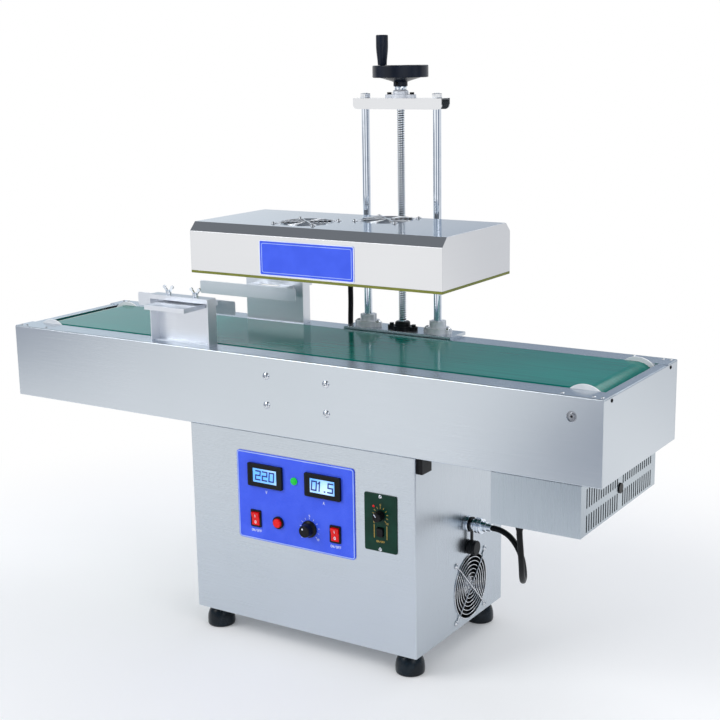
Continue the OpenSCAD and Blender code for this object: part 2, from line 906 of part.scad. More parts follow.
// A two-bolt flange bearing for the lead screw, with a domed housing
module bearing_flange(h) {
  difference() {
    union() {
      linear_extrude(bearing_base) {
        circle(bearing_dome_r + 3);
        for (b = [-1, 1]) translate([b * bearing_dx, 0]) circle(bearing_lug_r);
        square([2 * bearing_dx, 2 * bearing_lug_r - 2], center = true);
      }
      rotate_extrude() {
        square([bearing_dome_r, h - 4]);
        translate([bearing_dome_r - 4, h - 4]) circle(4);
        square([bearing_dome_r - 4, h]);
      }
      for (b = [-1, 1]) translate([b * bearing_dx, 0, 0]) cylinder(r = 4.5, h = bearing_base + 4, $fn = 6);
    }
    translate([0, 0, -1]) cylinder(r = screw_r + fit, h = h + 2);
  }
}

module crossbar() {
  half = post_pitch / 2 + bar_reach;
  color("silver") difference() {
    along_x(column_x - half, column_x + half) translate([column_y, 0]) difference() {
      translate([-bar_d / 2, bar_z]) square([bar_d, bar_h]);
      translate([-bar_d / 2 + bar_t, bar_z - 1]) square([bar_d - 2 * bar_t, bar_h - bar_t + 1]);
    }
    for (s = [0, 1]) translate([column_x, 0, 0]) mirror([s, 0, 0])
      along_y(column_y - bar_d, column_y + bar_d) translate([-half, bar_z]) bend(bar_corner);
    for (s = [-1, 1]) translate([column_x + s * post_pitch / 2, column_y, bar_z])
      cylinder(r = stud_r + seat, h = bar_h + 1);
    translate([column_x, column_y, bar_z]) cylinder(r = screw_r + 1, h = bar_h + 1);
  }
}

module lead_screw() {
  color("gray") translate([column_x, column_y, 0]) {
    translate([0, 0, plate_z + gap]) cylinder(r = screw_r, h = wheel_z + wheel_h - plate_z - gap);
    translate([0, 0, collar_z]) cylinder(r = screw_r + collar_t, h = wheel_z - collar_z);
  }
}

// A dished wheel: a flat band for its rim, a cone for its web and a narrow hub
module handwheel() {
  r = wheel_d / 2;
  band = r - rim_t;
  rim_z = wheel_h - rim_h;
  color("#1b1e22") translate([column_x, column_y, wheel_z]) {
    rotate_extrude() difference() {
      union() {
        square([hub_r, wheel_h - 8]);
        polygon([[hub_r - 1, rim_z - 8], [hub_r + 4, rim_z - 6], [band, rim_z], [band, rim_z + web_t],
            [hub_r + 4, rim_z + web_t - 6], [hub_r - 1, rim_z + web_t - 6]]);
        translate([band + 2, rim_z]) square([rim_t - 4, rim_h]);
        translate([band, rim_z + 2]) square([rim_t, rim_h - 4]);
        for (x = [band + 2, r - 2], z = [rim_z + 2, wheel_h - 2]) translate([x, z]) circle(2);
      }
      translate([-1, -1]) square([screw_r + seat + 1, wheel_h + 2]);
    }
    translate([-crank_r, 0, rim_z]) cylinder(r = crank_pin_r + 4, h = rim_h);
    translate([-crank_r, 0, wheel_h - 1]) cylinder(r = crank_pin_r, h = grip_h - 3);
  }
}

// A turned grip, waisted towards the wheel
module crank_grip() {
  color("#1b1e22") translate([column_x - crank_r, column_y, wheel_z + wheel_h + gap]) difference() {
    rotate_extrude() {
      polygon([[0, 0], [grip_foot_r, 0], [grip_foot_r + 0.5, 8], [grip_r - 0.5, grip_h * 0.45],
          [grip_r, grip_h * 0.6], [grip_r, grip_h - 2], [grip_r - 2, grip_h], [0, grip_h]]);
      translate([grip_r - 2, grip_h - 2]) circle(2);
    }
    translate([0, 0, -1]) cylinder(r = crank_pin_r + fit, h = grip_h - 3);
  }
}

// All the fasteners that are large enough to see
module screws() {
  color("gainsboro") {
    for (p = panel_screws) {
      on_front(p[0], -rail_y, p[1]) dome_screw(screw_head_r, screw_hole_r - seat, 20);
      on_rear(p[0], rail_y, p[1]) dome_screw(screw_head_r, screw_hole_r - seat, 20);
    }
    for (x = column_bolt_x) translate([x, column_y, plate_z + lug_h])
      dome_screw(screw_head_r, screw_hole_r - seat, lug_h + plate_t + 2 * sheet);
    for (s = [-1, 1]) translate([column_x + s * post_pitch / 2, column_y, bar_top]) difference() {
      cylinder(r = 2 * stud_r, h = nut_h, $fn = 6);
      translate([0, 0, -1]) cylinder(r = stud_r + seat, h = nut_h + 2);
    }
  }
}

// Sealing head

function head_outline(t, z0) = let (k = t * tan(22.5), y0 = head_yf + t, y1 = head_yb - t, c = head_chamfer)
    [[y0, z0], [y0, head_top - c - k], [head_yf + c + k, head_top - t],
    [head_yb - c - k, head_top - t], [y1, head_top - c - k], [y1, z0]];

module head_shell() {
  x0 = head_x - head_l / 2;
  x1 = head_x + head_l / 2;
  color("silver") difference() {
    along_x(x0, x1) polygon(head_outline(0, shell_z));
    along_x(x0 + sheet, x1 - sheet) polygon(head_outline(sheet, shell_z - 1));
    for (p = head_fan_xy) translate([p[0], p[1], head_top])
      cylinder(r = head_fan * fan_hole, h = 6 * sheet, center = true);
    on_rear(head_gland_x, head_yb, head_gland_z) cylinder(r = gland_r, h = 6 * sheet, center = true);
  }
}

module head_base_board() {
  color("olivedrab") block([head_x - head_l / 2, head_yf, head_z], [head_x + head_l / 2, head_yb, shell_z]);
}

module induction_coil() {
  coil_l = head_l - 2 * coil_margin;
  color("peru") translate([head_x, (head_yf + head_yb) / 2, shell_z]) linear_extrude(coil_t) difference() {
    rounded(coil_l, coil_w, coil_w / 2 - 10);
    rounded(coil_l - 2 * coil_band, coil_w - 2 * coil_band, coil_band - 10);
  }
}

module head_fan_frames() {
  color("#22262a") for (p = head_fan_xy) translate([p[0], p[1], head_top - sheet]) fan_frame(head_fan);
}

module head_fan_guards() {
  color("gainsboro") for (p = head_fan_xy) translate([p[0], p[1], head_top]) fan_guard(head_fan);
}

module left_fan_rotor() {
  color("#22262a") translate([head_fan_xy[0][0], head_fan_xy[0][1], head_top - sheet]) fan_rotor(head_fan);
}

module right_fan_rotor() {
  color("#22262a") translate([head_fan_xy[1][0], head_fan_xy[1][1], head_top - sheet]) fan_rotor(head_fan);
}

// The block behind the head that slides on the posts and holds the nut
module carriage() {
  half = post_pitch / 2 + 22;
  color("lightgray") difference() {
    union() {
      block([column_x - half, head_yb, block_z - 8],
        [column_x + half, head_yb + block_t, block_z + block_h + 8]);
      block([column_x - half, head_yb, block_z], [column_x + half, column_y + 20, block_z + block_h]);
    }
    for (x = [-post_pitch / 2, 0, post_pitch / 2]) translate([column_x + x, column_y, block_z - 1])
      cylinder(r = (x == 0 ? nut_r : bush_r) + seat, h = block_h + 2);
  }
}

module carriage_bushings() {
  color("darkgoldenrod") {
    for (s = [-1, 1]) translate([column_x + s * post_pitch / 2, column_y, block_z])
      flanged_bush(bush_r, post_r + fit);
    translate([column_x, column_y, block_z]) flanged_bush(nut_r, screw_r + fit);
  }
}

module flanged_bush(r, bore) {
  linear_extrude(block_h) ring(r, bore);
  translate([0, 0, block_h]) linear_extrude(4) ring(r + 4, bore);
}

// Bottle guides: drawn for the front rail, and mirrored for the rear one

module at_guide(front) {
  translate([front ? front_guide_x : rear_guide_x, 0, 0]) mirror([0, front ? 0 : 1, 0]) children();
}

module bracket() {
  half = bracket_w / 2;
  y0 = -bracket_y - bracket_d;
  t = sheet;
  difference() {
    union() {
      block([-half, -bracket_y - t, rail_z], [half, -bracket_y, bracket_z]);
      for (s = [-1, 1]) translate([s * (half - t / 2) - t / 2, y0, rail_z]) cube([t, bracket_d, bracket_h]);
      block([-half, y0, bracket_z - t], [half, -bracket_y, bracket_z]);
      block([-half, y0, bracket_z - 8], [half, y0 + t, bracket_z]);
      block([-half, y0 + 8, rail_z], [half, -bracket_y, rail_z + t]);
    }
    block([-arm_w / 2 - 1, -bracket_y - 2 * t, arm_z - arm_lip - gap],
      [arm_w / 2 + 1, -bracket_y + t, arm_z + gap]);
    for (s = [-1, 1]) translate([s * wing_dx, y0 + bracket_d / 2, bracket_z])
      cylinder(r = wing_r + fit, h = 4 * t, center = true);
  }
}

module guide_brackets() {
  color("silver") {
    at_guide(true) bracket();
    at_guide(false) bracket();
  }
}

// A sliding arm that folds down into a long strip beside the belt
module guide(strip_y, strip_x) {
  half = arm_w / 2;
  t = sheet;
  difference() {
    union() {
      block([-half, -arm_y0, arm_z - t], [half, -strip_y, arm_z]);
      for (s = [-1, 1]) translate([s * (half - t / 2) - t / 2, -arm_y0, arm_z - arm_lip])
        cube([t, arm_y0 - strip_y - 8, arm_lip]);
      block([-half, -arm_y0, arm_z - arm_lip], [half, -arm_y0 + t, arm_z]);
      on_front(strip_x, -strip_y + t, arm_z - strip_h / 2) linear_extrude(t) rounded(strip_l, strip_h, 4);
    }
    block([-22, -bracket_y + 6, arm_z - 2 * t], [22, -strip_y - 8, arm_z + t]);
  }
}

module front_guide() {
  color("lightgray") at_guide(true) guide(front_strip_y, -36);
}

module rear_guide() {
  color("lightgray") at_guide(false) guide(rear_strip_y, -42);
}

module wing_screw(side) {
  y = -bracket_y - bracket_d / 2;
  translate([side * wing_dx, y, 0]) {
    translate([0, 0, arm_z + gap]) cylinder(r = wing_r, h = arm_drop + 8);
    translate([0, 0, bracket_z + gap]) cylinder(r = 5, h = 7);
    for (s = [-1, 1]) translate([s * 2, 0, bracket_z + 5]) rotate([90, 0, 0]) linear_extrude(3, center = true)
      rotate(s * -38) {
        translate([-2, 0]) square([4, 11]);
        translate([0, 11]) circle(3);
      }
  }
}

module front_wing_screw_a() {
  color("gainsboro") at_guide(true) wing_screw(-1);
}

module front_wing_screw_b() {
  color("gainsboro") at_guide(true) wing_screw(1);
}

module rear_wing_screw_a() {
  color("gainsboro") at_guide(false) wing_screw(-1);
}

module rear_wing_screw_b() {
  color("gainsboro") at_guide(false) wing_screw(1);
}

front_side_panel();
rear_side_panel();
end_plates();
conveyor_belt();
bed_frame();
roller_bearings();
drive_roller();
idler_roller();
motor_box();
gear_motor();
motor_pulley();
drive_belt();
cabinet_shell();
cabinet_rear_panel();
rubber_feet();
inverter_module();
control_panel();
panel_meters();
indicator_lamp();
switch_bezels();
power_rocker();
start_rocker();
reset_button();
power_knob();
speed_controller();
speed_knob();
speed_rocker();
cabinet_fan_frame();
cabinet_fan_rotor();
cabinet_fan_guard();
cable_connector();
dust_cap();
motor_cable();
cable_glands();
screws();
column_base_plate();
guide_posts();
column_flanges();
crossbar();
lead_screw();
handwheel();
crank_grip();
head_shell();
head_base_board();
induction_coil();
head_fan_frames();
head_fan_guards();
left_fan_rotor();
right_fan_rotor();
carriage();
carriage_bushings();
head_gland();
head_cable();
guide_brackets();
front_guide();
rear_guide();
front_wing_screw_a();
front_wing_screw_b();
rear_wing_screw_a();
rear_wing_screw_b();
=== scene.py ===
# Looks of the induction cap sealer: finishes for its solids, cables, print, wire and small fasteners.
import json
import math

import bmesh
import bpy
from mathutils import Matrix, Quaternion, Vector


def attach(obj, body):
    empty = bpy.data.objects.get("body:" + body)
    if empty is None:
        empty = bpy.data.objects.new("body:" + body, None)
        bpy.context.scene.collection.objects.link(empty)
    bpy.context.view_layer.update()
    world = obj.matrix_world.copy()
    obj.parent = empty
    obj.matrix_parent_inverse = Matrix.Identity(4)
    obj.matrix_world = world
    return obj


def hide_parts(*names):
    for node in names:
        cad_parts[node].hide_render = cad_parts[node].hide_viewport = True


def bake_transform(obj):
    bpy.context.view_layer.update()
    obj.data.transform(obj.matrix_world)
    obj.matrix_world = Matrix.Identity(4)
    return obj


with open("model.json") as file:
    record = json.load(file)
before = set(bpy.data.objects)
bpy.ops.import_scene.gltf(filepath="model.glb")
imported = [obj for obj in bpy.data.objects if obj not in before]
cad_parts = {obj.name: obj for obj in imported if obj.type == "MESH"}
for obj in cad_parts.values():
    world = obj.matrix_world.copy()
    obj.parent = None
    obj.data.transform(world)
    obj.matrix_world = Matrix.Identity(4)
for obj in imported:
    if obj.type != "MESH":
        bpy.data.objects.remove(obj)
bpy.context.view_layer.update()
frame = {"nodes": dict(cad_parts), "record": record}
nodes = frame["nodes"]
body_of_node = {n: b for b, members in frame["record"]["behaviour"]["bodies"].items() for n in members}

# Camera: lens and principal point in pixels of a 720 x 720 image
image_px = 720
focal_px = 1354.0
centre_px = (357.5, 360.2)
camera_place = Vector((1.3269, -1.9443, 1.0108))
camera_azimuth = 32.72
camera_elevation = 12.63
camera_roll = -0.95


def photo_camera():
    data = bpy.data.cameras.new("photo_camera")
    data.sensor_width = 36.0
    data.lens = 36.0 * focal_px / image_px
    data.shift_x = (image_px / 2 - centre_px[0]) / image_px
    data.shift_y = (centre_px[1] - image_px / 2) / image_px
    camera = bpy.data.objects.new("photo_camera", data)
    bpy.context.scene.collection.objects.link(camera)
    a, e = math.radians(camera_azimuth), math.radians(camera_elevation)
    forward = Vector((-math.sin(a) * math.cos(e), math.cos(a) * math.cos(e), -math.sin(e)))
    roll = Quaternion((0, 0, 1), math.radians(camera_roll))
    camera.rotation_mode = "QUATERNION"
    camera.rotation_quaternion = forward.to_track_quat("-Z", "Y") @ roll
    camera.location = camera_place
    bpy.context.scene.camera = camera


photo_camera()


# Shader arithmetic and finishes

def tint(red, green, blue):
    """A colour given as 0 to 255 in sRGB, as the shader's linear values."""
    def linear(c):
        c /= 255
        return c / 12.92 if c <= 0.04045 else ((c + 0.055) / 1.055) ** 2.4
    return (linear(red), linear(green), linear(blue), 1.0)


class Value:
    """An output socket of a node; arithmetic on it adds Math nodes to its tree."""

    def __init__(self, home, socket):
        self.home = home
        self.socket = socket

    def math(self, operation, *terms):
        return self.home.node("Math", {"operation": operation}, dict(enumerate(terms)))

    def __add__(self, other):
        return self.math("ADD", self, other)

    def __sub__(self, other):
        return self.math("SUBTRACT", self, other)

    def __mul__(self, other):
        return self.math("MULTIPLY", self, other)

    def __rsub__(self, other):
        return self.math("SUBTRACT", other, self)

    def __gt__(self, other):
        return self.math("GREATER_THAN", self, other)

    __radd__ = __add__
    __rmul__ = __mul__

    def size(self):
        return self.math("ABSOLUTE", self)

    def smooth(self, low, high):
        sockets = {"Value": self, "From Min": low, "From Max": high}
        return self.home.node("MapRange", {"interpolation_type": "SMOOTHSTEP"}, sockets)


class NodeTree:
    """Adds nodes to a tree and joins them up."""

    def __init__(self, tree):
        self.tree = tree

    def node(self, kind, settings=None, sockets=None, output=0):
        made = self.tree.nodes.new("ShaderNode" + kind)
        for name, value in (settings or {}).items():
            setattr(made, name, value)
        for name, value in (sockets or {}).items():
            self.feed(made.inputs[name], value)
        return Value(self, made.outputs[output])

    def feed(self, socket, value):
        if isinstance(value, Value):
            self.tree.links.new(value.socket, socket)
        else:
            socket.default_value = value

    def mix(self, share, first, second):
        return self.node("Mix", {"data_type": "RGBA"}, {0: share, 6: first, 7: second}, 2)


class Finish(NodeTree):
    """A procedural finish: a material whose nodes end in one shader."""

    def __init__(self, name, **constants):
        self.material = bpy.data.materials.new(name)
        self.material.use_nodes = True
        super().__init__(self.material.node_tree)
        self.shader = self.tree.nodes["Principled BSDF"]
        for socket, value in constants.items():
            self.shader.inputs[socket.replace("_", " ")].default_value = value

    def set(self, socket, value):
        self.feed(self.shader.inputs[socket], value)

    def place(self, scale=(1, 1, 1)):
        return self.node("Mapping", {}, {"Vector": self.node("TexCoord", output="Object"), "Scale": scale})

    def noise(self, scale, stretch=(1, 1, 1), detail=2.0):
        sockets = {"Vector": self.place(stretch), "Scale": scale, "Detail": detail}
        return self.node("TexNoise", {}, sockets)

    def bump(self, height, strength, distance=0.0002):
        sockets = {"Height": height, "Strength": strength, "Distance": distance}
        self.set("Normal", self.node("Bump", {}, sockets))

    def sideways(self):
        """1 on faces that look left or right, 0 on the others."""
        normal = self.node("TexCoord", output="Normal")
        return self.node("SeparateXYZ", {}, {0: normal}, 0).size() > 0.7


along_x_grain = (1, 420, 420)
along_y_grain = (420, 1, 420)
along_z_grain = (420, 420, 1)


def brushed_steel(name, light, dark, front_grain, side_grain, roughness, metallic=1.0):
    """Brushed sheet: fine lines that follow the rolling direction of each face."""
    finish = Finish(name, Metallic=metallic)
    to_side = finish.sideways()
    front = finish.noise(7.0, front_grain, 3.0)
    side = finish.noise(7.0, side_grain, 3.0)
    lines = front * (1 - to_side) + side * to_side
    cloud = finish.noise(2.4, detail=3.0)
    shade = (lines * 0.35 + cloud * 0.7).smooth(0.25, 0.8)
    finish.set("Base Color", finish.mix(shade, dark, light))
    finish.set("Roughness", roughness + 0.06 * lines + 0.06 * cloud)
    finish.bump(lines, 0.03, 0.0001)
    return finish


def polished_metal(name, light, dark, roughness, grain=(1, 1, 1), scale=60.0):
    """Plated or polished metal with faint marks."""
    finish = Finish(name, Metallic=1.0)
    marks = finish.noise(scale, grain, 4.0)
    finish.set("Base Color", finish.mix(marks.smooth(0.3, 0.75), light, dark))
    finish.set("Roughness", roughness + 0.12 * marks.smooth(0.45, 0.8))
    return finish


def cast_metal(name, light, dark):
    """Sand-cast light alloy: a pebbled skin over a mottled colour."""
    finish = Finish(name, Metallic=0.35)
    grit = finish.noise(900.0, detail=4.0)
    cloud = finish.noise(70.0, detail=3.0)
    finish.set("Base Color", finish.mix(cloud.smooth(0.3, 0.7), light, dark))
    finish.set("Roughness", 0.36 + 0.2 * grit)
    finish.bump(grit, 0.35)
    return finish


def moulded(name, light, dark, roughness, grain_scale=1400.0, grain_depth=0.15, **constants):
    """Moulded plastic, rubber or paint with a fine grain."""
    finish = Finish(name, **constants)
    grain = finish.noise(grain_scale, detail=3.0)
    cloud = finish.noise(35.0, detail=2.0)
    finish.set("Base Color", finish.mix(cloud.smooth(0.3, 0.7), light, dark))
    finish.set("Roughness", roughness + 0.1 * grain)
    finish.bump(grain, grain_depth, 0.0001)
    return finish


def belt_rubber():
    """Green PVC belt: glossy, with the faint lines of its calendered top along the run."""
    finish = Finish("belt_rubber", Coat_Weight=0.05, Coat_Roughness=0.03, IOR=1.42, Specular_IOR_Level=0.18)
    streak = finish.noise(6.0, (1, 30, 30), 3.0)
    cloud = finish.noise(5.0, detail=3.0)
    shade = (streak * 0.5 + cloud * 0.5).smooth(0.35, 0.7)
    finish.set("Base Color", finish.mix(shade, tint(0, 110, 100), tint(0, 126, 115)))
    finish.set("Roughness", 0.1 + 0.1 * cloud)
    finish.bump(finish.noise(700.0, detail=2.0), 0.03, 0.0001)
    return finish


def fibre_board():
    """Olive glass-fibre laminate with its weave along the edge."""
    finish = Finish("fibre_board", IOR=1.5)
    layers = finish.noise(40.0, (1, 1, 60), 2.0)
    weave = finish.noise(900.0, detail=1.0)
    finish.set("Base Color", finish.mix(layers.smooth(0.3, 0.7), tint(96, 104, 22), tint(134, 138, 48)))
    finish.set("Roughness", 0.4 + 0.15 * weave)
    finish.bump(weave, 0.2, 0.0001)
    return finish


def lit_screen():
    """Backlit display glass: pale blue with a soft brighter middle."""
    finish = Finish("lit_screen", Roughness=0.12, Emission_Strength=0.5)
    glow = finish.noise(24.0, detail=1.0).smooth(0.3, 0.7)
    colour = finish.mix(glow, tint(96, 172, 255), tint(196, 226, 255))
    finish.set("Base Color", colour)
    finish.set("Emission Color", colour)
    return finish


panel_steel = brushed_steel("panel_steel", (0.67, 0.72, 0.775, 1), (0.6, 0.65, 0.7, 1),
                            along_x_grain, along_y_grain, 0.2)
box_steel = brushed_steel("box_steel", (0.56, 0.62, 0.67, 1), (0.47, 0.53, 0.58, 1),
                          along_z_grain, along_z_grain, 0.22)
cabinet_steel = brushed_steel("cabinet_steel", (0.62, 0.67, 0.725, 1), (0.55, 0.6, 0.65, 1),
                              along_x_grain, along_z_grain, 0.22)
head_steel = brushed_steel("head_steel", (0.82, 0.83, 0.85, 1), (0.75, 0.76, 0.78, 1),
                           along_x_grain, along_y_grain, 0.06)
guide_steel = brushed_steel("guide_steel", (0.86, 0.89, 0.94, 1), (0.76, 0.79, 0.84, 1),
                            along_x_grain, along_y_grain, 0.28, 0.85)
zinc_steel = polished_metal("zinc_steel", (0.55, 0.57, 0.6, 1), (0.38, 0.4, 0.43, 1), 0.28)
chrome = polished_metal("chrome", (0.84, 0.89, 0.95, 1), (0.76, 0.82, 0.89, 1), 0.03)
wire_chrome = polished_metal("wire_chrome", (0.84, 0.86, 0.88, 1), (0.62, 0.64, 0.68, 1), 0.1, scale=200.0)
thread_steel = polished_metal("thread_steel", (0.92, 0.96, 1.0, 1), (0.84, 0.9, 0.95, 1), 0.16)
# Dark finish for the thread roots: partly grease, partly painted shade that darkens the roots.
root_grease_and_shade = moulded("root_grease_and_shade", tint(34, 34, 36), tint(20, 20, 22), 0.3)
screw_steel = polished_metal("screw_steel", (0.5, 0.52, 0.55, 1), (0.3, 0.31, 0.34, 1), 0.2, scale=300.0)
cast_alloy = cast_metal("cast_alloy", (0.82, 0.85, 0.9, 1), (0.76, 0.79, 0.84, 1))
bronze = polished_metal("bronze", (0.62, 0.42, 0.18, 1), (0.5, 0.32, 0.13, 1), 0.25)
copper = polished_metal("copper", (0.72, 0.34, 0.18, 1), (0.58, 0.25, 0.12, 1), 0.25)
belt_green = belt_rubber()
white_nylon = moulded("white_nylon", tint(238, 240, 242), tint(222, 226, 230), 0.25)
motor_paint = moulded("motor_paint", tint(70, 74, 78), tint(54, 58, 62), 0.4)
black_rubber = moulded("black_rubber", tint(20, 23, 27), tint(12, 14, 18), 0.42, grain_depth=0.25,
                       Specular_IOR_Level=0.25)
foot_rubber = moulded("foot_rubber", tint(10, 26, 36), tint(6, 16, 24), 0.22, Specular_IOR_Level=0.3)
black_plastic = moulded("black_plastic", tint(14, 16, 20), tint(8, 9, 12), 0.28, Specular_IOR_Level=0.2)
wheel_plastic = moulded("wheel_plastic", tint(15, 26, 44), tint(9, 17, 31), 0.26, 900.0, 0.2,
                        Specular_IOR_Level=0.3)
cable_sheath = moulded("cable_sheath", tint(14, 17, 21), tint(8, 10, 13), 0.36, Specular_IOR_Level=0.18)
blue_paint = moulded("blue_paint", tint(68, 100, 242), tint(60, 92, 236), 0.22, Specular_IOR_Level=0.3)
blue_plate_paint = moulded("blue_plate_paint", tint(66, 98, 238), tint(60, 92, 232), 0.25,
                           Specular_IOR_Level=0.3)
pale_print = moulded("pale_print", tint(176, 196, 250), tint(160, 184, 246), 0.3)
white_print = moulded("white_print", tint(236, 240, 250), tint(220, 228, 244), 0.35)
gold_print = moulded("gold_print", tint(206, 176, 84), tint(186, 154, 66), 0.35)
green_plate = moulded("green_plate", tint(8, 58, 44), tint(4, 46, 34), 0.3, Specular_IOR_Level=0.2)
red_plastic = moulded("red_plastic", tint(238, 22, 22), tint(220, 12, 16), 0.16, grain_depth=0.05,
                      Specular_IOR_Level=0.3)
red_light = moulded("red_light", tint(240, 40, 36), tint(230, 26, 26), 0.15, grain_depth=0.02)
green_lens = moulded("green_lens", tint(20, 226, 70), tint(14, 206, 58), 0.1, grain_depth=0.02)
screen_blue = lit_screen()
digit_ink = moulded("digit_ink", tint(24, 44, 140), tint(16, 34, 120), 0.4)
board_laminate = fibre_board()

node_finishes = {
    panel_steel: ["front_side_panel", "rear_side_panel", "end_plates", "column_base_plate"],
    cabinet_steel: ["cabinet_shell", "cabinet_rear_panel"],
    box_steel: ["motor_box"],
    head_steel: ["head_shell", "crossbar"],
    guide_steel: ["guide_brackets", "front_guide", "rear_guide"],
    zinc_steel: ["bed_frame", "roller_bearings", "motor_pulley", "lead_screw"],
    chrome: ["guide_posts", "cable_connector", "front_wing_screw_a", "front_wing_screw_b",
             "rear_wing_screw_a", "rear_wing_screw_b"],
    wire_chrome: ["cabinet_fan_guard", "head_fan_guards", "screws"],
    cast_alloy: ["column_flanges", "carriage", "inverter_module"],
    belt_green: ["conveyor_belt"],
    white_nylon: ["drive_roller", "idler_roller"],
    motor_paint: ["gear_motor"],
    black_rubber: ["drive_belt", "dust_cap"],
    foot_rubber: ["rubber_feet"],
    cable_sheath: ["motor_cable", "head_cable"],
    black_plastic: ["switch_bezels", "panel_meters", "power_knob", "speed_knob", "speed_rocker",
                    "cabinet_fan_frame", "cabinet_fan_rotor", "head_fan_frames", "left_fan_rotor",
                    "right_fan_rotor", "cable_glands", "head_gland"],
    wheel_plastic: ["handwheel", "crank_grip"],
    blue_paint: ["control_panel"],
    green_plate: ["speed_controller"],
    green_lens: ["indicator_lamp"],
    red_plastic: ["power_rocker", "start_rocker", "reset_button"],
    board_laminate: ["head_base_board"],
    copper: ["induction_coil"],
    bronze: ["carriage_bushings"],
}
finish_of = {n: finish for finish, members in node_finishes.items() for n in members}
for name, solid in nodes.items():
    solid.data.materials.clear()
    solid.data.materials.append(finish_of[name].material)


# Making pieces

slots = {
    "stainless": [panel_steel, cabinet_steel, box_steel, head_steel, guide_steel],
    "zinc_steel": [zinc_steel, thread_steel, screw_steel],
    "chrome": [chrome, wire_chrome],
    "cast_aluminium": [cast_alloy],
    "green_belt": [belt_green],
    "white_nylon": [white_nylon],
    "black_rubber": [black_rubber, foot_rubber, cable_sheath],
    "black_plastic": [black_plastic, wheel_plastic],
    "blue_plate": [blue_paint, blue_plate_paint],
    "green_plate": [green_plate],
    "green_lens": [green_lens],
    "red_plastic": [red_plastic],
    "glass_fibre_board": [board_laminate],
    "copper": [copper],
    "bronze": [bronze],
}
slot_of = {finish: slot for slot, finishes in slots.items() for finish in finishes}

merge_distance = 1e-6
flat_angle = math.radians(1.0)
sharp_angle = math.radians(38.0)


def corner_normals(bm, smooth_angle):
    """Normals that blend faces within the angle by their area, so that flat faces stay flat."""
    limit = math.cos(math.radians(smooth_angle))
    weighted = {face: (face.normal.copy(), face.normal * face.calc_area()) for face in bm.faces}
    normals = []
    for face in bm.faces:
        own = weighted[face][0]
        for loop in face.loops:
            near = [weighted[f] for f in loop.vert.link_faces]
            normals.append(sum((big for n, big in near if n.dot(own) > limit), Vector()).normalized())
    return normals


def piece(name, bm, finishes, body, smooth_angle=50.0):
    """A bmesh becomes an object at the origin that rides on a body."""
    mesh = bpy.data.meshes.new(name)
    bm.normal_update()
    normals = corner_normals(bm, smooth_angle)
    bm.to_mesh(mesh)
    bm.free()
    for finish in finishes:
        mesh.materials.append(finish.material)
    mesh.shade_smooth()
    mesh.normals_split_custom_set(normals)
    made = bpy.data.objects.new(name, mesh)
    bpy.context.scene.collection.objects.link(made)
    finishes[0] in slot_of
    if body:
        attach(made, body)
    return made


def rounded_edges(bm, edges, offset, segments=2):
    bmesh.ops.bevel(bm, geom=list(edges), offset=offset, offset_type="OFFSET", affect="EDGES",
                    segments=segments, profile=0.5, material=-1, clamp_overlap=True)


def softened(node, edge, segments=2, second=None, where=None):
    """A copy of a solid with its sharp edges rounded a little, in place of the solid.
    Faces whose middle passes the test take the second finish."""
    bm = bmesh.new()
    bm.from_mesh(nodes[node].data)
    bm.transform(nodes[node].matrix_world)
    bmesh.ops.remove_doubles(bm, verts=bm.verts, dist=merge_distance)
    bmesh.ops.dissolve_limit(bm, angle_limit=flat_angle, verts=bm.verts, edges=bm.edges)
    sharp = [e for e in bm.edges if e.is_manifold and e.calc_face_angle() > sharp_angle]
    rounded_edges(bm, sharp, edge, segments)
    for face in bm.faces:
        face.material_index = 1 if where and where(face.calc_center_median()) else 0
    finishes = [finish_of[node]] + ([second] if second else [])
    made = piece(node + "_body", bm, finishes, body_of_node[node])
    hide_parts(node)


def slab(bm, low, high, corner=0.0):
    """A box between two corners; its edges along Y can be rounded."""
    low, high = Vector(low), Vector(high)
    size = Matrix.Diagonal((*(high - low), 1.0))
    made = bmesh.ops.create_cube(bm, size=1.0, matrix=Matrix.Translation((low + high) / 2) @ size)
    if corner:
        edges = {e for v in made["verts"] for e in v.link_edges}
        along_y = [e for e in edges if abs(e.verts[0].co.y - e.verts[1].co.y) > merge_distance]
        rounded_edges(bm, along_y, corner, 6)


def turned(bm, profile, place, sides=32, closed=False):
    """Spins a profile of radius and height pairs about the Z axis of a place."""
    verts = [bm.verts.new(place @ Vector((r, 0.0, h))) for r, h in profile]
    edges = [bm.edges.new(pair) for pair in zip(verts, verts[1:])]
    if closed:
        edges.append(bm.edges.new((verts[-1], verts[0])))
    axis = place.to_3x3() @ Vector((0, 0, 1))
    bmesh.ops.spin(bm, geom=verts + edges, cent=place.translation, axis=axis, angle=2 * math.pi,
                   steps=sides, use_merge=True)


def closed_up(bm):
    """Poles are merged and the faces of a turned mesh made to point outwards."""
    bmesh.ops.remove_doubles(bm, verts=bm.verts, dist=merge_distance)
    bmesh.ops.recalc_face_normals(bm, faces=bm.faces)


def circle_profile(radius, height, wire, count):
    turns = [2 * math.pi * k / count for k in range(count)]
    return [(radius + wire * math.cos(t), height + wire * math.sin(t)) for t in turns]


screw_sink = 0.0002


def dome_profile(radius, height, socket):
    """From the middle of a screw's socket over its domed head to its base, sunk a little."""
    arc = [math.radians(a) for a in (66, 50, 34, 18, 0)]
    start = [(0.0, 0.4 * height), (socket, 0.4 * height), (socket, 0.95 * height)]
    dome = [(radius * math.cos(t), height * math.sin(t)) for t in arc]
    return start + dome + [(radius, -screw_sink), (0.0, -screw_sink)]


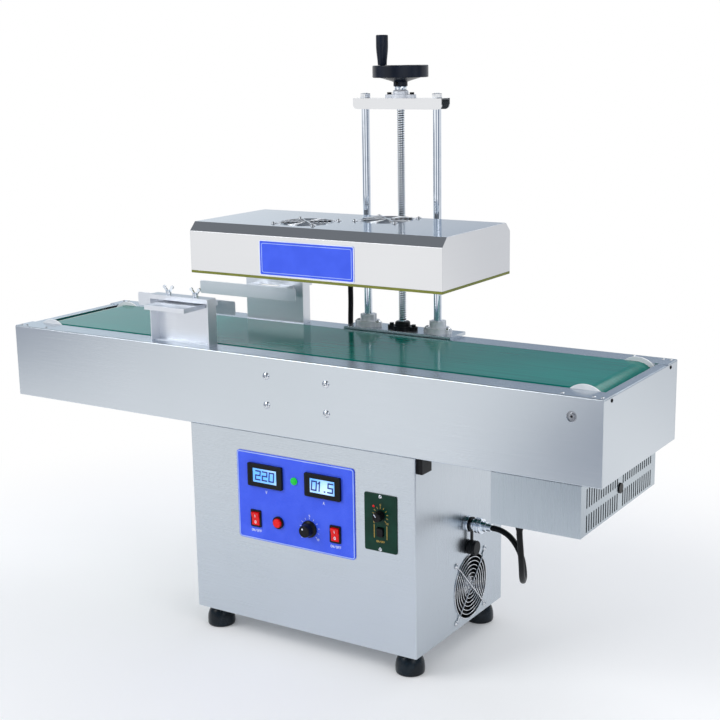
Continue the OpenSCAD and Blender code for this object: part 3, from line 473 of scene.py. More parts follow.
looking_right = Matrix(((0, 0, 1, 0), (1, 0, 0, 0), (0, 1, 0, 0), (0, 0, 0, 1)))
looking_front = Matrix(((1, 0, 0, 0), (0, 0, -1, 0), (0, 1, 0, 0), (0, 0, 0, 1)))
looking_rear = Matrix(((-1, 0, 0, 0), (0, 0, 1, 0), (0, 1, 0, 0), (0, 0, 0, 1)))
looking_up = Matrix.Identity(4)
looking_down = Matrix.Rotation(math.pi, 4, "X")


def standing(place, way):
    """A frame at a place whose Z axis looks that way."""
    return Matrix.Translation(place) @ way


def bridged(bm, rings, around=False):
    """Joins a row of rings with faces; the last ring can meet the first."""
    loops = [{e for v in ring for e in v.link_edges} for ring in rings]
    for first, second in zip(loops, loops[1:] + (loops[:1] if around else [])):
        bmesh.ops.bridge_loops(bm, edges=list(first | second))
    bmesh.ops.recalc_face_normals(bm, faces=bm.faces)


# Print: strokes a little thicker than ink, each stroke of a character a layer above the one before

print_depth = 0.00015
print_layer = 0.00001


def stroke(bm, start, end, width, place, depth=print_depth):
    """A flat bar of print between two points of the XY plane of a place."""
    run = Vector(end) - Vector(start)
    middle = (Vector(start) + Vector(end)) / 2
    turn = Matrix.Rotation(math.atan2(run.y, run.x), 4, "Z")
    size = Matrix.Diagonal((run.length + width, width, depth, 1.0))
    lift = Matrix.Translation((middle.x, middle.y, depth / 2))
    bmesh.ops.create_cube(bm, size=1.0, matrix=place @ lift @ turn @ size)


def outline(bm, width, height, line, place, corner):
    """A printed line round a plate, with rounded corners."""
    x, y = width / 2 - corner, height / 2 - corner
    upright = Matrix.Rotation(math.radians(90), 4, "X")
    section = Matrix.Diagonal((line, print_depth, 1.0, 1.0)) @ Matrix.Rotation(math.radians(45), 4, "Z")
    rings = []
    for centre_x, centre_y, first in ((x, y, 0), (-x, y, 90), (-x, -y, 180), (x, -y, 270)):
        centre = Matrix.Translation((centre_x, centre_y, print_depth / 2))
        for step in (0, 22.5, 45, 67.5, 90):
            turn = Matrix.Rotation(math.radians(first + step), 4, "Z")
            here = place @ centre @ turn @ Matrix.Translation((corner, 0, 0)) @ upright @ section
            ring = bmesh.ops.create_circle(bm, radius=math.sqrt(0.5), segments=4, matrix=here)
            rings.append(ring["verts"])
    bridged(bm, rings, True)


# Strokes of the few plain characters used, in a cell 0.6 wide and 1 high
cell_width = 0.6
characters = {
    "0": [[(0, 0), (0.6, 0), (0.6, 1), (0, 1), (0, 0)]],
    "1": [[(0.3, 0), (0.3, 1), (0.12, 0.8)]],
    "2": [[(0, 1), (0.6, 1), (0.6, 0.5), (0, 0.5), (0, 0), (0.6, 0)]],
    "5": [[(0.6, 1), (0, 1), (0, 0.5), (0.6, 0.5), (0.6, 0), (0, 0)]],
    ".": [[(0.28, 0), (0.32, 0)]],
    "V": [[(0, 1), (0.3, 0), (0.6, 1)]],
    "A": [[(0, 0), (0.3, 1), (0.6, 0)], [(0.13, 0.4), (0.47, 0.4)]],
    "O": [[(0, 0.2), (0.2, 0), (0.4, 0), (0.6, 0.2), (0.6, 0.8), (0.4, 1), (0.2, 1), (0, 0.8), (0, 0.2)]],
    "I": [[(0.3, 0), (0.3, 1)]],
    "N": [[(0, 0), (0, 1), (0.6, 0), (0.6, 1)]],
    "F": [[(0.6, 1), (0, 1), (0, 0)], [(0, 0.5), (0.5, 0.5)]],
    "/": [[(0.05, 0), (0.55, 1)]],
}
letter_spacing = 0.92


def lettering(bm, text, x, y, height, line, place, slant=0.0, spacing=letter_spacing):
    """Plain characters in strokes, centred on a point of the XY plane of a place."""
    left = x - height * (spacing * (len(text) - 1) + cell_width) / 2
    for k, character in enumerate(text):
        depth = print_depth
        for run in characters[character]:
            points = [(left + height * (spacing * k + u + slant * v), y + height * (v - 0.5)) for u, v in run]
            for start, end in zip(points, points[1:]):
                stroke(bm, start, end, line, place, depth)
                depth += print_layer


dial_first, dial_last = 225, -45
dial_tick_count = 11
dial_numbers = (("0", dial_first), ("5", 90), ("10", dial_last))


def dial(bm, x, y, place, inner, outer, tick_line, number_radius, number_height, number_line):
    """A ring of ticks round a knob, with three numbers outside it."""
    centre = Vector((x, y))
    for k in range(dial_tick_count):
        t = math.radians(dial_first + (dial_last - dial_first) * k / (dial_tick_count - 1))
        way = Vector((math.cos(t), math.sin(t)))
        stroke(bm, centre + inner * way, centre + outer * way, tick_line, place)
    for text, angle in dial_numbers:
        t = math.radians(angle)
        at_x, at_y = x + number_radius * math.cos(t), y + number_radius * math.sin(t)
        lettering(bm, text, at_x, at_y, number_height, number_line, place)


# Cables, whose routes are those of the solids

cable_radius = 0.005
motor_route = [(0.329, 0.027, 0.220), (0.345, 0.026, 0.219), (0.364, 0.022, 0.213), (0.382, 0.014, 0.201),
               (0.397, 0.002, 0.187), (0.408, -0.013, 0.175), (0.417, -0.030, 0.169), (0.424, -0.048, 0.170),
               (0.431, -0.065, 0.178), (0.437, -0.080, 0.192), (0.442, -0.092, 0.210), (0.445, -0.101, 0.232),
               (0.446, -0.107, 0.256), (0.446, -0.110, 0.276), (0.446, -0.110, 0.291)]
head_route = [(-0.042, 0.125, 0.690), (-0.042, 0.141, 0.688), (-0.042, 0.155, 0.680), (-0.042, 0.164, 0.666),
              (-0.042, 0.167, 0.648), (-0.042, 0.168, 0.620), (-0.043, 0.168, 0.590), (-0.043, 0.168, 0.560),
              (-0.044, 0.168, 0.530), (-0.045, 0.169, 0.500), (-0.046, 0.170, 0.470), (-0.047, 0.171, 0.440),
              (-0.048, 0.172, 0.410), (-0.050, 0.174, 0.380), (-0.052, 0.177, 0.350), (-0.054, 0.180, 0.320),
              (-0.058, 0.184, 0.292), (-0.066, 0.189, 0.267), (-0.079, 0.194, 0.248), (-0.096, 0.198, 0.240),
              (-0.114, 0.202, 0.244), (-0.130, 0.205, 0.258), (-0.141, 0.207, 0.278), (-0.147, 0.208, 0.298),
              (-0.150, 0.205, 0.318), (-0.150, 0.196, 0.332), (-0.150, 0.184, 0.339), (-0.150, 0.173, 0.340)]


def spline_points(points, steps=4):
    """A smooth curve through the points, as closer points."""
    p = [Vector(q) for q in points]
    out = []
    for i in range(len(p) - 1):
        before, after = p[max(i - 1, 0)], p[min(i + 2, len(p) - 1)]
        m0, m1 = (p[i + 1] - before) / 2, (after - p[i]) / 2
        for k in range(steps):
            t = k / steps
            out.append((2 * t**3 - 3 * t**2 + 1) * p[i] + (t**3 - 2 * t**2 + t) * m0
                       + (3 * t**2 - 2 * t**3) * p[i + 1] + (t**3 - t**2) * m1)
    return out + [p[-1]]


def tube(bm, path, radius, sides=16):
    """Sweeps a circle along a path, with closed ends."""
    last = len(path) - 1
    tangents = [(path[min(i + 1, last)] - path[max(i - 1, 0)]).normalized() for i in range(last + 1)]
    lean = tangents[0].orthogonal().normalized()
    rings = []
    for point, ahead in zip(path, tangents):
        lean = (lean - lean.dot(ahead) * ahead).normalized()
        turn = Matrix((lean, ahead.cross(lean), ahead)).transposed().to_4x4()
        ring = bmesh.ops.create_circle(bm, cap_ends=len(rings) in (0, last), radius=radius, segments=sides,
                                       matrix=Matrix.Translation(point) @ turn)
        rings.append(ring["verts"])
    bridged(bm, rings)


def run_length(path):
    return sum((b - a).length for a, b in zip(path, path[1:]))


def cable(name, route, node):
    path = spline_points(route)
    bm = bmesh.new()
    tube(bm, path, cable_radius)
    made = piece(name, bm, [cable_sheath], None)
    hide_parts(node)
    run_length(path)
    return made


motor_lead = cable("motor_lead", motor_route, "motor_cable")
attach(motor_lead, "machine")
head_lead = cable("head_lead", head_route, "head_cable")
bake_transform(head_lead)


# Tapered rubber sleeves where the cables leave their glands

sleeve_radius = 0.0082
sleeve_collar = 0.0024
sleeve_tip = 0.0052
sleeve_length = 0.0184
rib_count = 5
rib_pitch = 0.003
rib_taper = 0.0007
rib_shape = ((0.0, 0.0), (0.0014, -0.0003), (0.0016, -0.0012), (0.0028, -0.0014))


def strain_relief(name, place, body):
    bm = bmesh.new()
    ribs = [(sleeve_radius - rib_taper * k + fall, rib_pitch * k + step)
            for k in range(1, rib_count + 1) for step, fall in rib_shape]
    collar = [(0, 0.0), (sleeve_radius, 0.0), (sleeve_radius, sleeve_collar)]
    turned(bm, collar + ribs + [(sleeve_tip, sleeve_length), (0, sleeve_length)], place, 28)
    closed_up(bm)
    piece(name, bm, [black_rubber], body)


strain_relief("motor_lead_sleeve", standing((0.446, -0.110, 0.2915), looking_down), "machine")
strain_relief("head_lead_sleeve", standing((-0.042, 0.1235, 0.690), looking_rear), "head")
strain_relief("cabinet_lead_sleeve", standing((-0.150, 0.1715, 0.340), looking_rear), "machine")


# Edges of the solids

sheet_edge = 0.0004
moulded_edge = 0.0005
soft_edge = 0.0008
column_x, column_y = 0.090, 0.135
bar_top = 0.939
channel_half = 0.0125
channel_top = 0.9365
roller_half = 0.110
bearing_half = 0.035
lower_bearing_top = 0.56
upper_bolt_inner = 0.0182
upper_bearing_base = 0.9452


# Faces inside the crossbar's channel take the dark motor paint: painted shade for the shadow inside the
# channel.
def crossbar_inner_shade(p):
    return abs(p.y - column_y) < channel_half and p.z < channel_top


def on_roller_shaft(p):
    return abs(p.y) > roller_half


def on_black_bearing(p):
    """The lower screw bearing, and the bolts of the upper one."""
    across = abs(p.x - column_x)
    bolt = across > upper_bolt_inner and p.z > upper_bearing_base
    return across < bearing_half and (p.z < lower_bearing_top or bolt)


for node in ("front_side_panel", "rear_side_panel", "end_plates", "motor_box", "cabinet_shell",
             "column_base_plate", "guide_brackets", "front_guide", "rear_guide", "head_base_board"):
    softened(node, sheet_edge)
softened("head_shell", soft_edge, 3)
# The crossbar's inner channel faces are painted dark: painted shade.
softened("crossbar", sheet_edge, 2, motor_paint, crossbar_inner_shade)
for node in ("drive_roller", "idler_roller"):
    softened(node, moulded_edge, 2, screw_steel, on_roller_shaft)
for node in ("control_panel", "speed_controller", "panel_meters", "switch_bezels", "power_rocker",
             "start_rocker", "reset_button", "speed_rocker", "power_knob", "speed_knob"):
    softened(node, moulded_edge)
for node in ("handwheel", "crank_grip", "dust_cap", "cable_glands"):
    softened(node, soft_edge)
for node in ("front_wing_screw_a", "front_wing_screw_b", "rear_wing_screw_a", "rear_wing_screw_b"):
    softened(node, moulded_edge)


# Rubber: domed feet, and grip rings round the dust cap

foot_profile = [(0, 0.0), (0.0225, 0.0), (0.0243, 0.0012), (0.0250, 0.0040), (0.0250, 0.0110),
                (0.0245, 0.0170), (0.0232, 0.0225), (0.0212, 0.0275), (0.0186, 0.0320), (0.0160, 0.0355),
                (0.0145, 0.0390), (0, 0.0390)]
foot_x = (-0.147, 0.254)
foot_y = (-0.126, 0.126)
cap_place = (0.288, 0.027, 0.178)
cap_radius = 0.0120
cap_ring_heights = (-0.0022, 0.0018, 0.0062, 0.0102)
cap_ring_wire = 0.0009


def rubber_feet():
    bm = bmesh.new()
    for x in foot_x:
        for y in foot_y:
            turned(bm, foot_profile, Matrix.Translation((x, y, 0.0)), 40)
    closed_up(bm)
    made = piece("rubber_feet_body", bm, [foot_rubber], "machine")
    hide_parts("rubber_feet")


def dust_cap_rings():
    bm = bmesh.new()
    for height in cap_ring_heights:
        ring = circle_profile(cap_radius, height, cap_ring_wire, 10)
        turned(bm, ring, standing(cap_place, looking_right), 36, True)
    closed_up(bm)
    piece("dust_cap_rings", bm, [black_rubber], "machine")


rubber_feet()
dust_cap_rings()


# Lead screw: a flat-topped thread between two plain journals, with its collar

screw_axis = Vector((column_x, column_y, 0.0))
screw_lead = 0.004
screw_outer = 0.007
screw_root = 0.0049
thread_low = 0.5415
thread_turns = 94
thread_high = thread_low + screw_lead * thread_turns
thread_steps = 18
thread_rounding = 0.0002
thread_flank = 0.0006
thread_merge = 1e-5
screw_bottom = 0.5263
journal_overlap = 0.002
collar_bottom = 0.9533
collar_top = 0.9593
collar_radius = 0.011
screw_top = 0.9953
edge_break = 0.0008


def lead_screw():
    bm = bmesh.new()
    shoulder = screw_outer - thread_rounding
    tooth = [(screw_root, 0.0), (screw_root, 0.0004), (shoulder, 0.0008), (screw_outer, 0.0010),
             (screw_outer, 0.0030), (shoulder, 0.0032), (screw_root, 0.0036), (screw_root, screw_lead)]
    verts = [bm.verts.new(screw_axis + Vector((r, 0.0, thread_low + h))) for r, h in tooth]
    edges = [bm.edges.new(pair) for pair in zip(verts, verts[1:])]
    bmesh.ops.spin(bm, geom=verts + edges, cent=screw_axis, axis=(0, 0, 1), angle=2 * math.pi * thread_turns,
                   dvec=(0, 0, screw_lead / thread_steps), steps=thread_steps * thread_turns)
    bmesh.ops.remove_doubles(bm, verts=bm.verts, dist=thread_merge)
    rims = [e for e in bm.edges if e.is_boundary]
    for end in (thread_low, thread_high):
        rim = [e for e in rims if abs(e.verts[0].co.z - end) < 2 * screw_lead]
        drawn = bmesh.ops.extrude_edge_only(bm, edges=rim)["geom"]
        inner = [v for v in drawn if isinstance(v, bmesh.types.BMVert)]
        bmesh.ops.pointmerge(bm, verts=inner, merge_co=screw_axis + Vector((0, 0, end)))
    bmesh.ops.recalc_face_normals(bm, faces=bm.faces)
    # Faces below the flanks take the dark finish: painted shade in the thread roots, partly grease.
    for face in bm.faces:
        middle = face.calc_center_median() - screw_axis
        face.material_index = int(math.hypot(middle.x, middle.y) < screw_outer - thread_flank)
    thread = piece("lead_screw_thread", bm, [thread_steel, root_grease_and_shade], "spindle", 30.0)
    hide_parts("lead_screw")

    bm = bmesh.new()
    lower_end = thread_low + journal_overlap
    turned(bm, [(0, screw_bottom), (screw_outer, screw_bottom), (screw_outer, lower_end), (0, lower_end)],
           Matrix.Translation(screw_axis))
    collar = [(collar_radius - edge_break, collar_bottom), (collar_radius, collar_bottom + edge_break),
              (collar_radius, collar_top - edge_break), (collar_radius - edge_break, collar_top)]
    turned(bm, [(0, thread_high), (screw_outer, thread_high), (screw_outer, collar_bottom)] + collar
           + [(screw_outer, collar_top), (screw_outer, screw_top - edge_break),
              (screw_outer - edge_break, screw_top), (0, screw_top)], Matrix.Translation(screw_axis))
    closed_up(bm)
    journals = piece("lead_screw_journals", bm, [thread_steel], "spindle")
    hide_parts("lead_screw")


lead_screw()
softened("column_flanges", soft_edge, 2, black_plastic, on_black_bearing)


# Fasteners

panel_y = 0.155
panel_screw_x = (-0.007, 0.1145)
panel_screw_z = (0.487, 0.4365)
post_x = (0.017, 0.163)
flange_bolt_x = (-0.020, 0.020)
flange_top = 0.534
rail_y, rail_z = 0.1435, 0.520
rail_screw_x = (0.530, 0.580, 0.5935)
conveyor_end = 0.600
end_screw_y, end_screw_z = 0.124, 0.5125
hub_front_y, hub_screw_z = 0.1225, 0.9645
roller_x, roller_z = 0.550, 0.489
panel_screw = dome_profile(0.0065, 0.0036, 0.0026)
rail_screw = dome_profile(0.0032, 0.0013, 0.0013)
end_screw = dome_profile(0.0032, 0.0016, 0.0013)
set_screw = dome_profile(0.0032, 0.002, 0.0014)
nut_profile = [(0.0051, 0.0), (0.0094, 0.0), (0.010, 0.0006), (0.010, 0.0074), (0.0088, 0.008),
               (0.0051, 0.008)]
# Profile of a thin black disc that stands for the shade inside a shaft's socket hole: painted shade.
socket_shade_profile = [(0, 0.0001), (0.0021, 0.0001), (0.0021, -0.0004), (0, -0.0004)]


def fasteners():
    bm = bmesh.new()
    for x in panel_screw_x:
        for z in panel_screw_z:
            turned(bm, panel_screw, standing((x, -panel_y, z), looking_front))
            turned(bm, panel_screw, standing((x, panel_y, z), looking_rear))
    for x in post_x:
        for side in flange_bolt_x:
            turned(bm, panel_screw, standing((x + side, column_y, flange_top), looking_up))
        turned(bm, nut_profile, standing((x, column_y, bar_top), looking_up), 6, True)
    closed_up(bm)
    made = piece("screw_heads", bm, [wire_chrome], "machine")
    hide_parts("screws")

    bm = bmesh.new()
    for side in (-1, 1):
        for x in rail_screw_x:
            for end in (-1, 1):
                turned(bm, rail_screw, standing((end * x, side * rail_y, rail_z), looking_up), 20)
    closed_up(bm)
    piece("rail_screws", bm, [wire_chrome], "machine")

    bm = bmesh.new()
    for side in (-1, 1):
        turned(bm, end_screw, standing((conveyor_end, side * end_screw_y, end_screw_z), looking_right), 20)
    closed_up(bm)
    piece("end_plate_screws", bm, [black_plastic], "machine")

    bm = bmesh.new()
    turned(bm, set_screw, standing((column_x, hub_front_y, hub_screw_z), looking_front), 20)
    closed_up(bm)
    piece("handwheel_set_screw", bm, [black_plastic], "spindle")

    # Black discs on the drive roller's shaft ends: painted shade standing in for the dark socket holes.
    bm = bmesh.new()
    for y, way in ((-panel_y, looking_front), (panel_y, looking_rear)):
        turned(bm, socket_shade_profile, standing((roller_x, y, roller_z), way), 6)
    closed_up(bm)
    piece("shaft_socket_shade", bm, [black_plastic], "drive_roller")


fasteners()


# Round-wire guards over the fans, with a bright disc on each hub

cabinet_right = 0.283
cabinet_fan_size = 0.120
cabinet_fan_place = standing((cabinet_right, 0.034, 0.104), looking_right)
head_fan_size = 0.092
head_fan_places = [standing((0.006, -0.043, 0.736), looking_up), standing((0.114, 0.045, 0.736), looking_up)]
# Parts of a guard as shares of its fan's width
guard_corner = 0.4365
guard_outer = 0.485
guard_inner = 0.07
bar_short = 0.004
bar_foot = 0.004
bar_knee = 0.001
# Height of the raised bars and their thickness, in wires
bar_height = 2.7
bar_wire = 1.2
eye_radius = 0.0042
guard_screw = dome_profile(0.0036, 0.0026, 0.0013)
hub_depth = 0.0045
disc_thickness = 0.0003
disc_edge = 0.0006


def wire_guard(name, node, size, places, body, rings, wire):
    """Rings of wire on two crossed bars that step down to an eye and a screw at each corner."""
    bm = bmesh.new()
    corner = guard_corner * size
    reach = corner * math.sqrt(2) - bar_short
    outer = guard_outer * size
    inner = guard_inner * size
    low, high = wire, bar_height * wire
    foot, knee = outer + bar_foot, outer + bar_knee
    bar = [(-reach, low), (-foot, low), (-knee, high), (knee, high), (foot, low), (reach, low)]
    for place in places:
        for k in range(rings):
            radius = inner + (outer - inner) * k / (rings - 1)
            turned(bm, circle_profile(radius, wire, wire, 8), place, 48, True)
        for angle in (45, 135):
            turn = Matrix.Rotation(math.radians(angle), 4, "Z")
            tube(bm, [place @ turn @ Vector((x, 0.0, z)) for x, z in bar], bar_wire * wire, 8)
        for x in (-corner, corner):
            for y in (-corner, corner):
                eye = place @ Matrix.Translation((x, y, 0.0))
                turned(bm, circle_profile(eye_radius, wire, wire, 8), eye, 20, True)
                turned(bm, guard_screw, eye @ Matrix.Translation((0, 0, wire)), 20)
    closed_up(bm)
    made = piece(name, bm, [wire_chrome], body)
    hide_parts(node)


def hub_disc(name, node, place, radius):
    bm = bmesh.new()
    turned(bm, [(0, disc_thickness), (radius - disc_edge, disc_thickness), (radius, 0.0), (0, 0.0)],
           place @ Matrix.Translation((0, 0, -hub_depth)), 40)
    closed_up(bm)
    piece(name, bm, [screw_steel], body_of_node[node])


# Instrument plate, screens and marks

plate_front = -0.157
border_place = (0.047, plate_front, 0.2705)
border_size = (0.238, 0.155)
border_line = 0.0016
border_corner = 0.004
meter_x = (-0.0125, 0.1065)
meter_z = 0.3105
meter_front = plate_front - 0.0035
glass_half = (0.0290, 0.0140)
glass_thickness = 0.0003
frame_half = (0.0299, 0.0144)
window_half = (0.0250, 0.0125)
frame_thickness = 0.0011
# Readings with the spacing of their digits
readings = (("220", letter_spacing), ("01.5", 0.71))
digit_height = 0.0155
digit_line = 0.0025
digit_slant = 0.08
digit_shift = 0.0006
unit_z, unit_height, unit_line = 0.2810, 0.0050, 0.0007
row_z = 0.2305
caption_z, caption_height, caption_line = 0.2080, 0.0040, 0.0006
power_dial = {"inner": 0.0175, "outer": 0.0200, "tick_line": 0.0006,
              "number_radius": 0.0232, "number_height": 0.0030, "number_line": 0.0005}
# Place of a white dot on the power knob, above and left of its middle: a painted highlight.
power_glint_place = (0.0737, -0.1753, 0.2345)
# Marks on the keys: out from the plate and up from the row
upper_mark, lower_mark = (0.00467, 0.00522), (0.00327, -0.00619)
mark_height, mark_line = 0.0045, 0.0010
power_rocker_x, start_rocker_x = -0.0355, 0.1295
power_knob_x = 0.0765
rocker_lean = 14.0


def meters():
    mask, glass, digits = bmesh.new(), bmesh.new(), bmesh.new()
    face = standing((0, meter_front - glass_thickness, 0), looking_front)
    wide, tall = frame_half
    open_wide, open_tall = window_half
    for x, (text, spacing) in zip(meter_x, readings):
        slab(glass, (x - glass_half[0], meter_front - glass_thickness, meter_z - glass_half[1]),
             (x + glass_half[0], meter_front, meter_z + glass_half[1]))
        for low_x, low_z, high_x, high_z in ((-wide, -tall, -open_wide, tall), (open_wide, -tall, wide, tall),
                                             (-open_wide, -tall, open_wide, -open_tall),
                                             (-open_wide, open_tall, open_wide, tall)):
            slab(mask, (x + low_x, meter_front - frame_thickness, meter_z + low_z),
                 (x + high_x, meter_front, meter_z + high_z))
        lettering(digits, text, x - digit_shift, meter_z, digit_height, digit_line, face,
                  digit_slant, spacing)
    piece("meter_glass", glass, [screen_blue], "machine")
    piece("meter_masks", mask, [black_plastic], "machine")
    piece("meter_digits", digits, [digit_ink], "machine")


def console_print():
    bm = bmesh.new()
    outline(bm, *border_size, border_line, standing(border_place, looking_front), border_corner)
    piece("console_border", bm, [pale_print], "machine")
    bm = bmesh.new()
    face = standing((0, plate_front, 0), looking_front)
    for x, text in zip(meter_x, "VA"):
        lettering(bm, text, x, unit_z, unit_height, unit_line, face)
    for x in (power_rocker_x, start_rocker_x):
        lettering(bm, "ON/OFF", x, caption_z, caption_height, caption_line, face)
    dial(bm, power_knob_x, row_z, face, **power_dial)
    piece("console_print", bm, [white_print], "machine")


def rocker_marks(name, node, x):
    """The plain marks on a key: its upper face leans out, its lower face stands upright."""
    bm = bmesh.new()
    lean = Matrix.Rotation(math.radians(rocker_lean), 4, "X")
    upper = standing((x, plate_front - upper_mark[0], row_z + upper_mark[1]), looking_front) @ lean
    lower = standing((x, plate_front - lower_mark[0], row_z + lower_mark[1]), looking_front)
    lettering(bm, "I", 0, 0, mark_height, mark_line, upper)
    lettering(bm, "O", 0, 0, mark_height, mark_line, lower)
    piece(name, bm, [white_print], body_of_node[node])


def spot(name, node, finish, place, radius, height):
    """A small domed dot that looks to the front."""
    bm = bmesh.new()
    turned(bm, [(0, height), (0.7 * radius, 0.75 * height), (radius, 0.0), (0, 0)],
           standing(place, looking_front), 24)
    closed_up(bm)
    piece(name, bm, [finish], body_of_node[node])


meters()
console_print()
rocker_marks("power_rocker_marks", "power_rocker", power_rocker_x)
rocker_marks("start_rocker_marks", "start_rocker", start_rocker_x)
# The white dot on the power knob is a painted highlight.
spot("power_knob_painted_glint", "power_knob", white_print, power_glint_place, radius=0.0017, height=0.0004)


# Speed controller

speed_x = 0.218
speed_dial_z = 0.279
speed_dial = {"inner": 0.0118, "outer": 0.0148, "tick_line": 0.0008,
              "number_radius": 0.0178, "number_height": 0.0028, "number_line": 0.0005}
speed_knob_front = plate_front - 0.0143
pointer_turn = 40.0
pointer_inner, pointer_outer = 0.0015, 0.0058
pointer_line = 0.0013
speed_screw = dome_profile(0.0034, 0.0016, 0.0012)
speed_screw_places = ((speed_x, plate_front, 0.311), (0.217, plate_front, 0.220))
speed_line_x = (0.2058, 0.2302)
speed_line_z = (0.2395, 0.2615)
speed_line = 0.0011
speed_caption_z, speed_caption_height, speed_caption_line = 0.2335, 0.0030, 0.0005
speed_light_place = (0.2050, plate_front, 0.2930)


def speed_plate():
    face = standing((0, plate_front, 0), looking_front)
    bm = bmesh.new()
    dial(bm, speed_x, speed_dial_z, face, **speed_dial)
    for x in speed_line_x:
        stroke(bm, (x, speed_line_z[0]), (x, speed_line_z[1]), speed_line, face)
    lettering(bm, "ON/OFF", speed_x, speed_caption_z, speed_caption_height, speed_caption_line, face)
    piece("speed_print", bm, [gold_print], "machine")
    bm = bmesh.new()
    for place in speed_screw_places:
        turned(bm, speed_screw, standing(place, looking_front), 24)
    closed_up(bm)
    piece("speed_plate_screws", bm, [wire_chrome], "machine")
    spot("speed_light", "speed_controller", red_light, speed_light_place, radius=0.0022, height=0.0018)
    bm = bmesh.new()
    turn = Matrix.Rotation(math.radians(pointer_turn), 4, "Z")
    knob_face = standing((speed_x, speed_knob_front, speed_dial_z), looking_front) @ turn
    stroke(bm, (0.0, pointer_inner), (0.0, pointer_outer), pointer_line, knob_face)
    piece("speed_knob_pointer", bm, [white_print], body_of_node["speed_knob"])


speed_plate()


# Plate on the head

head_front = -0.128
head_plate_x, head_plate_z = 0.062, 0.684
head_plate_w, head_plate_h = 0.190, 0.060
head_plate_t = 0.0006
head_plate_corner = 0.004
rim_line, rim_corner = 0.0018, 0.0032
inner_inset, inner_line, inner_corner = 0.011, 0.0010, 0.003


def head_plate():
    bm = bmesh.new()
    low = (head_plate_x - head_plate_w / 2, head_front - head_plate_t, head_plate_z - head_plate_h / 2)
    high = (head_plate_x + head_plate_w / 2, head_front, head_plate_z + head_plate_h / 2)
    slab(bm, low, high, head_plate_corner)
    piece("head_plate", bm, [blue_plate_paint], "head")
    face = standing((head_plate_x, head_front - head_plate_t, head_plate_z), looking_front)
    bm = bmesh.new()
    outline(bm, head_plate_w - rim_line, head_plate_h - rim_line, rim_line, face, rim_corner)
    piece("head_plate_rim", bm, [white_print], "head")
    bm = bmesh.new()
    outline(bm, head_plate_w - inner_inset, head_plate_h - inner_inset, inner_line, face, inner_corner)
    piece("head_plate_border", bm, [pale_print], "head")


head_plate()


# Round connector on the cabinet's side: its profile from the flange over the ridged nut to the cable

connector_place = (cabinet_right, 0.027, 0.220)
connector_flange = [(0, 0.0), (0.0132, 0.0), (0.0140, 0.0008), (0.0140, 0.0034), (0.0134, 0.0040)]
connector_neck = [(0.0100, 0.0040), (0.0100, 0.0140), (0.0128, 0.0140)]
connector_nut = [(0.0135, 0.0148), (0.0128, 0.0155), (0.0135, 0.0162), (0.0135, 0.0215), (0.0126, 0.0222),
                 (0.0135, 0.0229), (0.0135, 0.0262), (0.0128, 0.0269), (0.0135, 0.0276), (0.0129, 0.0280)]
connector_tail = [(0.0090, 0.0280), (0.0090, 0.0354), (0.0084, 0.0360), (0.0070, 0.0360), (0.0070, 0.0446),
                  (0.0064, 0.0452), (0, 0.0452)]


def connector():
    bm = bmesh.new()
    profile = connector_flange + connector_neck + connector_nut + connector_tail
    turned(bm, profile, standing(connector_place, looking_right), 40)
    closed_up(bm)
    made = piece("connector_shell", bm, [chrome], "machine")
    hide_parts("cable_connector")


connector()
wire_guard("cabinet_fan_wires", "cabinet_fan_guard", cabinet_fan_size, [cabinet_fan_place], "machine",
           8, 0.0009)
wire_guard("head_fan_wires", "head_fan_guards", head_fan_size, head_fan_places, "head", 6, 0.0007)
hub_disc("cabinet_hub_disc", "cabinet_fan_rotor", cabinet_fan_place, 0.016)
hub_disc("left_hub_disc", "left_fan_rotor", head_fan_places[0], 0.0125)
hub_disc("right_hub_disc", "right_fan_rotor", head_fan_places[1], 0.0125)


# Studio: pale floor, soft lamps and a world that is white at the horizon and grey overhead.
# Metal also sees dark flags round the set, a shade at the far left of the floor and a bright wall behind.

white_light = (1, 1, 1, 1)
flag_colour = (0.05, 0.09, 0.18, 1)
# Direction, half width and depth of each flag
flags = ((-1.45, 0.3, 0.85), (-0.35, 0.36, 1.0), (0.45, 0.2, 1.0), (1.22, 0.33, 0.3), (-2.95, 0.25, 1.0))
flag_share = 0.9
far_left_way = -2.55
far_left_half = (0.12, 0.27)
far_left_depth = 0.8
# Distances, squared, over which the floor turns white, the flags begin and the far shade begins
floor_fade, flag_fade, far_fade = (0.35, 1.8), (0.4, 2.2), (4.0, 10.0)
floor_glow = 0.08
floor_pale, floor_light = (0.93, 0.93, 0.93, 1), (0.9, 0.9, 0.9, 1)
floor_size = 14.0
wall_dim, wall_bright = (0.26, 0.33, 0.43, 1), (0.84, 0.96, 1.06, 1)
wall_turn = (1.95, 2.5)
horizon_rise, ceiling_rise = (0.0, 0.18), (0.25, 0.5)
ceiling_colour = (0.18, 0.195, 0.215, 1)
ambient_colour = (0.58, 0.6, 0.64, 1)
# Place, size and power of each lamp
lamps = {"key": ((-2.4, -3.0, 3.2), 2.6, 88.0), "fill": ((3.2, -1.6, 2.2), 2.0, 26.0),
         "back": ((0.6, 2.6, 3.0), 2.4, 36.0)}
lamp_target = Vector((0, 0, 0.5))


def ray_kinds(tree):
    """Whether the camera, gloss or glass sends a ray, and whether it is gloss."""
    camera, glossy, through = [tree.node("LightPath", output=kind) for kind in
                               ("Is Camera Ray", "Is Glossy Ray", "Is Transmission Ray")]
    return camera.math("MINIMUM", camera + glossy + through, 1.0), glossy


def axes(tree, place):
    return [tree.node("SeparateXYZ", {}, {0: place}, k) for k in range(3)]


def dark_flags(angle):
    """How much of a reflected ray falls on the dark flags that stand round the set, by its direction."""
    return sum(depth * (1 - (angle - middle).size().smooth(0.5 * half, half))
               for middle, half, depth in flags)


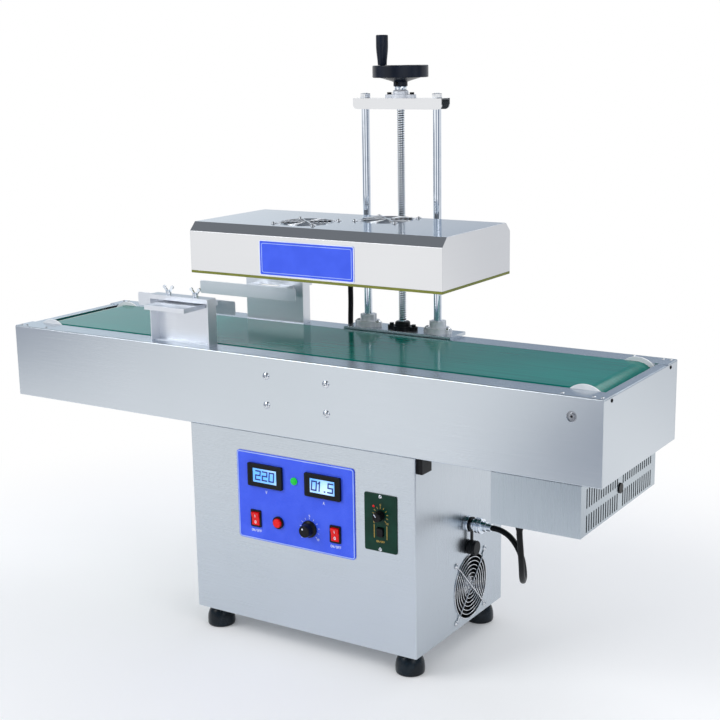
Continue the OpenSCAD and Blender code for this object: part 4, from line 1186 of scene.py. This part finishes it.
def floor():
    finish = Finish("floor", Roughness=0.9)
    finish.set("Base Color", finish.mix(finish.noise(2.0), floor_light, floor_pale))
    seen, glossy = ray_kinds(finish)
    dark = finish.node("Emission", {}, {"Color": white_light, "Strength": 0.0})
    glow = finish.node("Emission", {}, {"Color": white_light, "Strength": floor_glow})
    white = finish.node("Emission", {}, {"Color": white_light, "Strength": 1.0})
    flag = finish.node("Emission", {}, {"Color": flag_colour, "Strength": 1.0})
    shown = finish.node("MixShader", {}, {0: seen, 1: dark, 2: glow})
    near = finish.node("AddShader", {}, {0: Value(finish, finish.shader.outputs[0]), 1: shown})
    x, y, _ = axes(finish, finish.place())
    reach = x * x + y * y
    angle = y.math("ARCTAN2", y, x)
    lit = finish.node("MixShader", {}, {0: seen * reach.smooth(*floor_fade), 1: near, 2: white})
    far_left = 1 - (angle - far_left_way).size().smooth(*far_left_half)
    shade = dark_flags(angle) * reach.smooth(*flag_fade) + far_left_depth * far_left * reach.smooth(*far_fade)
    share = shade.math("MINIMUM", shade * glossy, flag_share)
    look = finish.node("MixShader", {}, {0: share, 1: lit, 2: flag})
    finish.feed(finish.tree.nodes["Material Output"].inputs["Surface"], look)
    bm = bmesh.new()
    bmesh.ops.create_grid(bm, x_segments=1, y_segments=1, size=floor_size)
    piece("floor", bm, [finish], None)


def sky():
    world = bpy.data.worlds.new("studio")
    bpy.context.scene.world = world
    world.use_nodes = True
    studio = NodeTree(world.node_tree)
    x, y, z = axes(studio, studio.node("TexCoord", output="Generated"))
    angle = y.math("ARCTAN2", y, x)
    wall = studio.mix(angle.smooth(*wall_turn), wall_dim, wall_bright)
    overhead = studio.mix(z.smooth(*ceiling_rise), wall, ceiling_colour)
    seen, glossy = ray_kinds(studio)
    horizon = studio.mix(dark_flags(angle) * glossy * flag_share, white_light, flag_colour)
    view_colour = studio.mix(z.smooth(*horizon_rise) * glossy, horizon, overhead)
    background = world.node_tree.nodes["Background"]
    studio.feed(background.inputs["Color"], studio.mix(seen, ambient_colour, view_colour))
    background.inputs["Strength"].default_value = 1.0


def hang_lamps():
    for name, (place, size, power) in lamps.items():
        data = bpy.data.lights.new(name, "AREA")
        data.energy = power
        data.size = size
        lamp = bpy.data.objects.new(name, data)
        bpy.context.scene.collection.objects.link(lamp)
        lamp.location = place
        lamp.rotation_mode = "QUATERNION"
        lamp.rotation_quaternion = (lamp_target - Vector(place)).to_track_quat("-Z", "Y")


floor()
sky()
hang_lamps()
bpy.context.scene.view_settings.view_transform = "Standard"
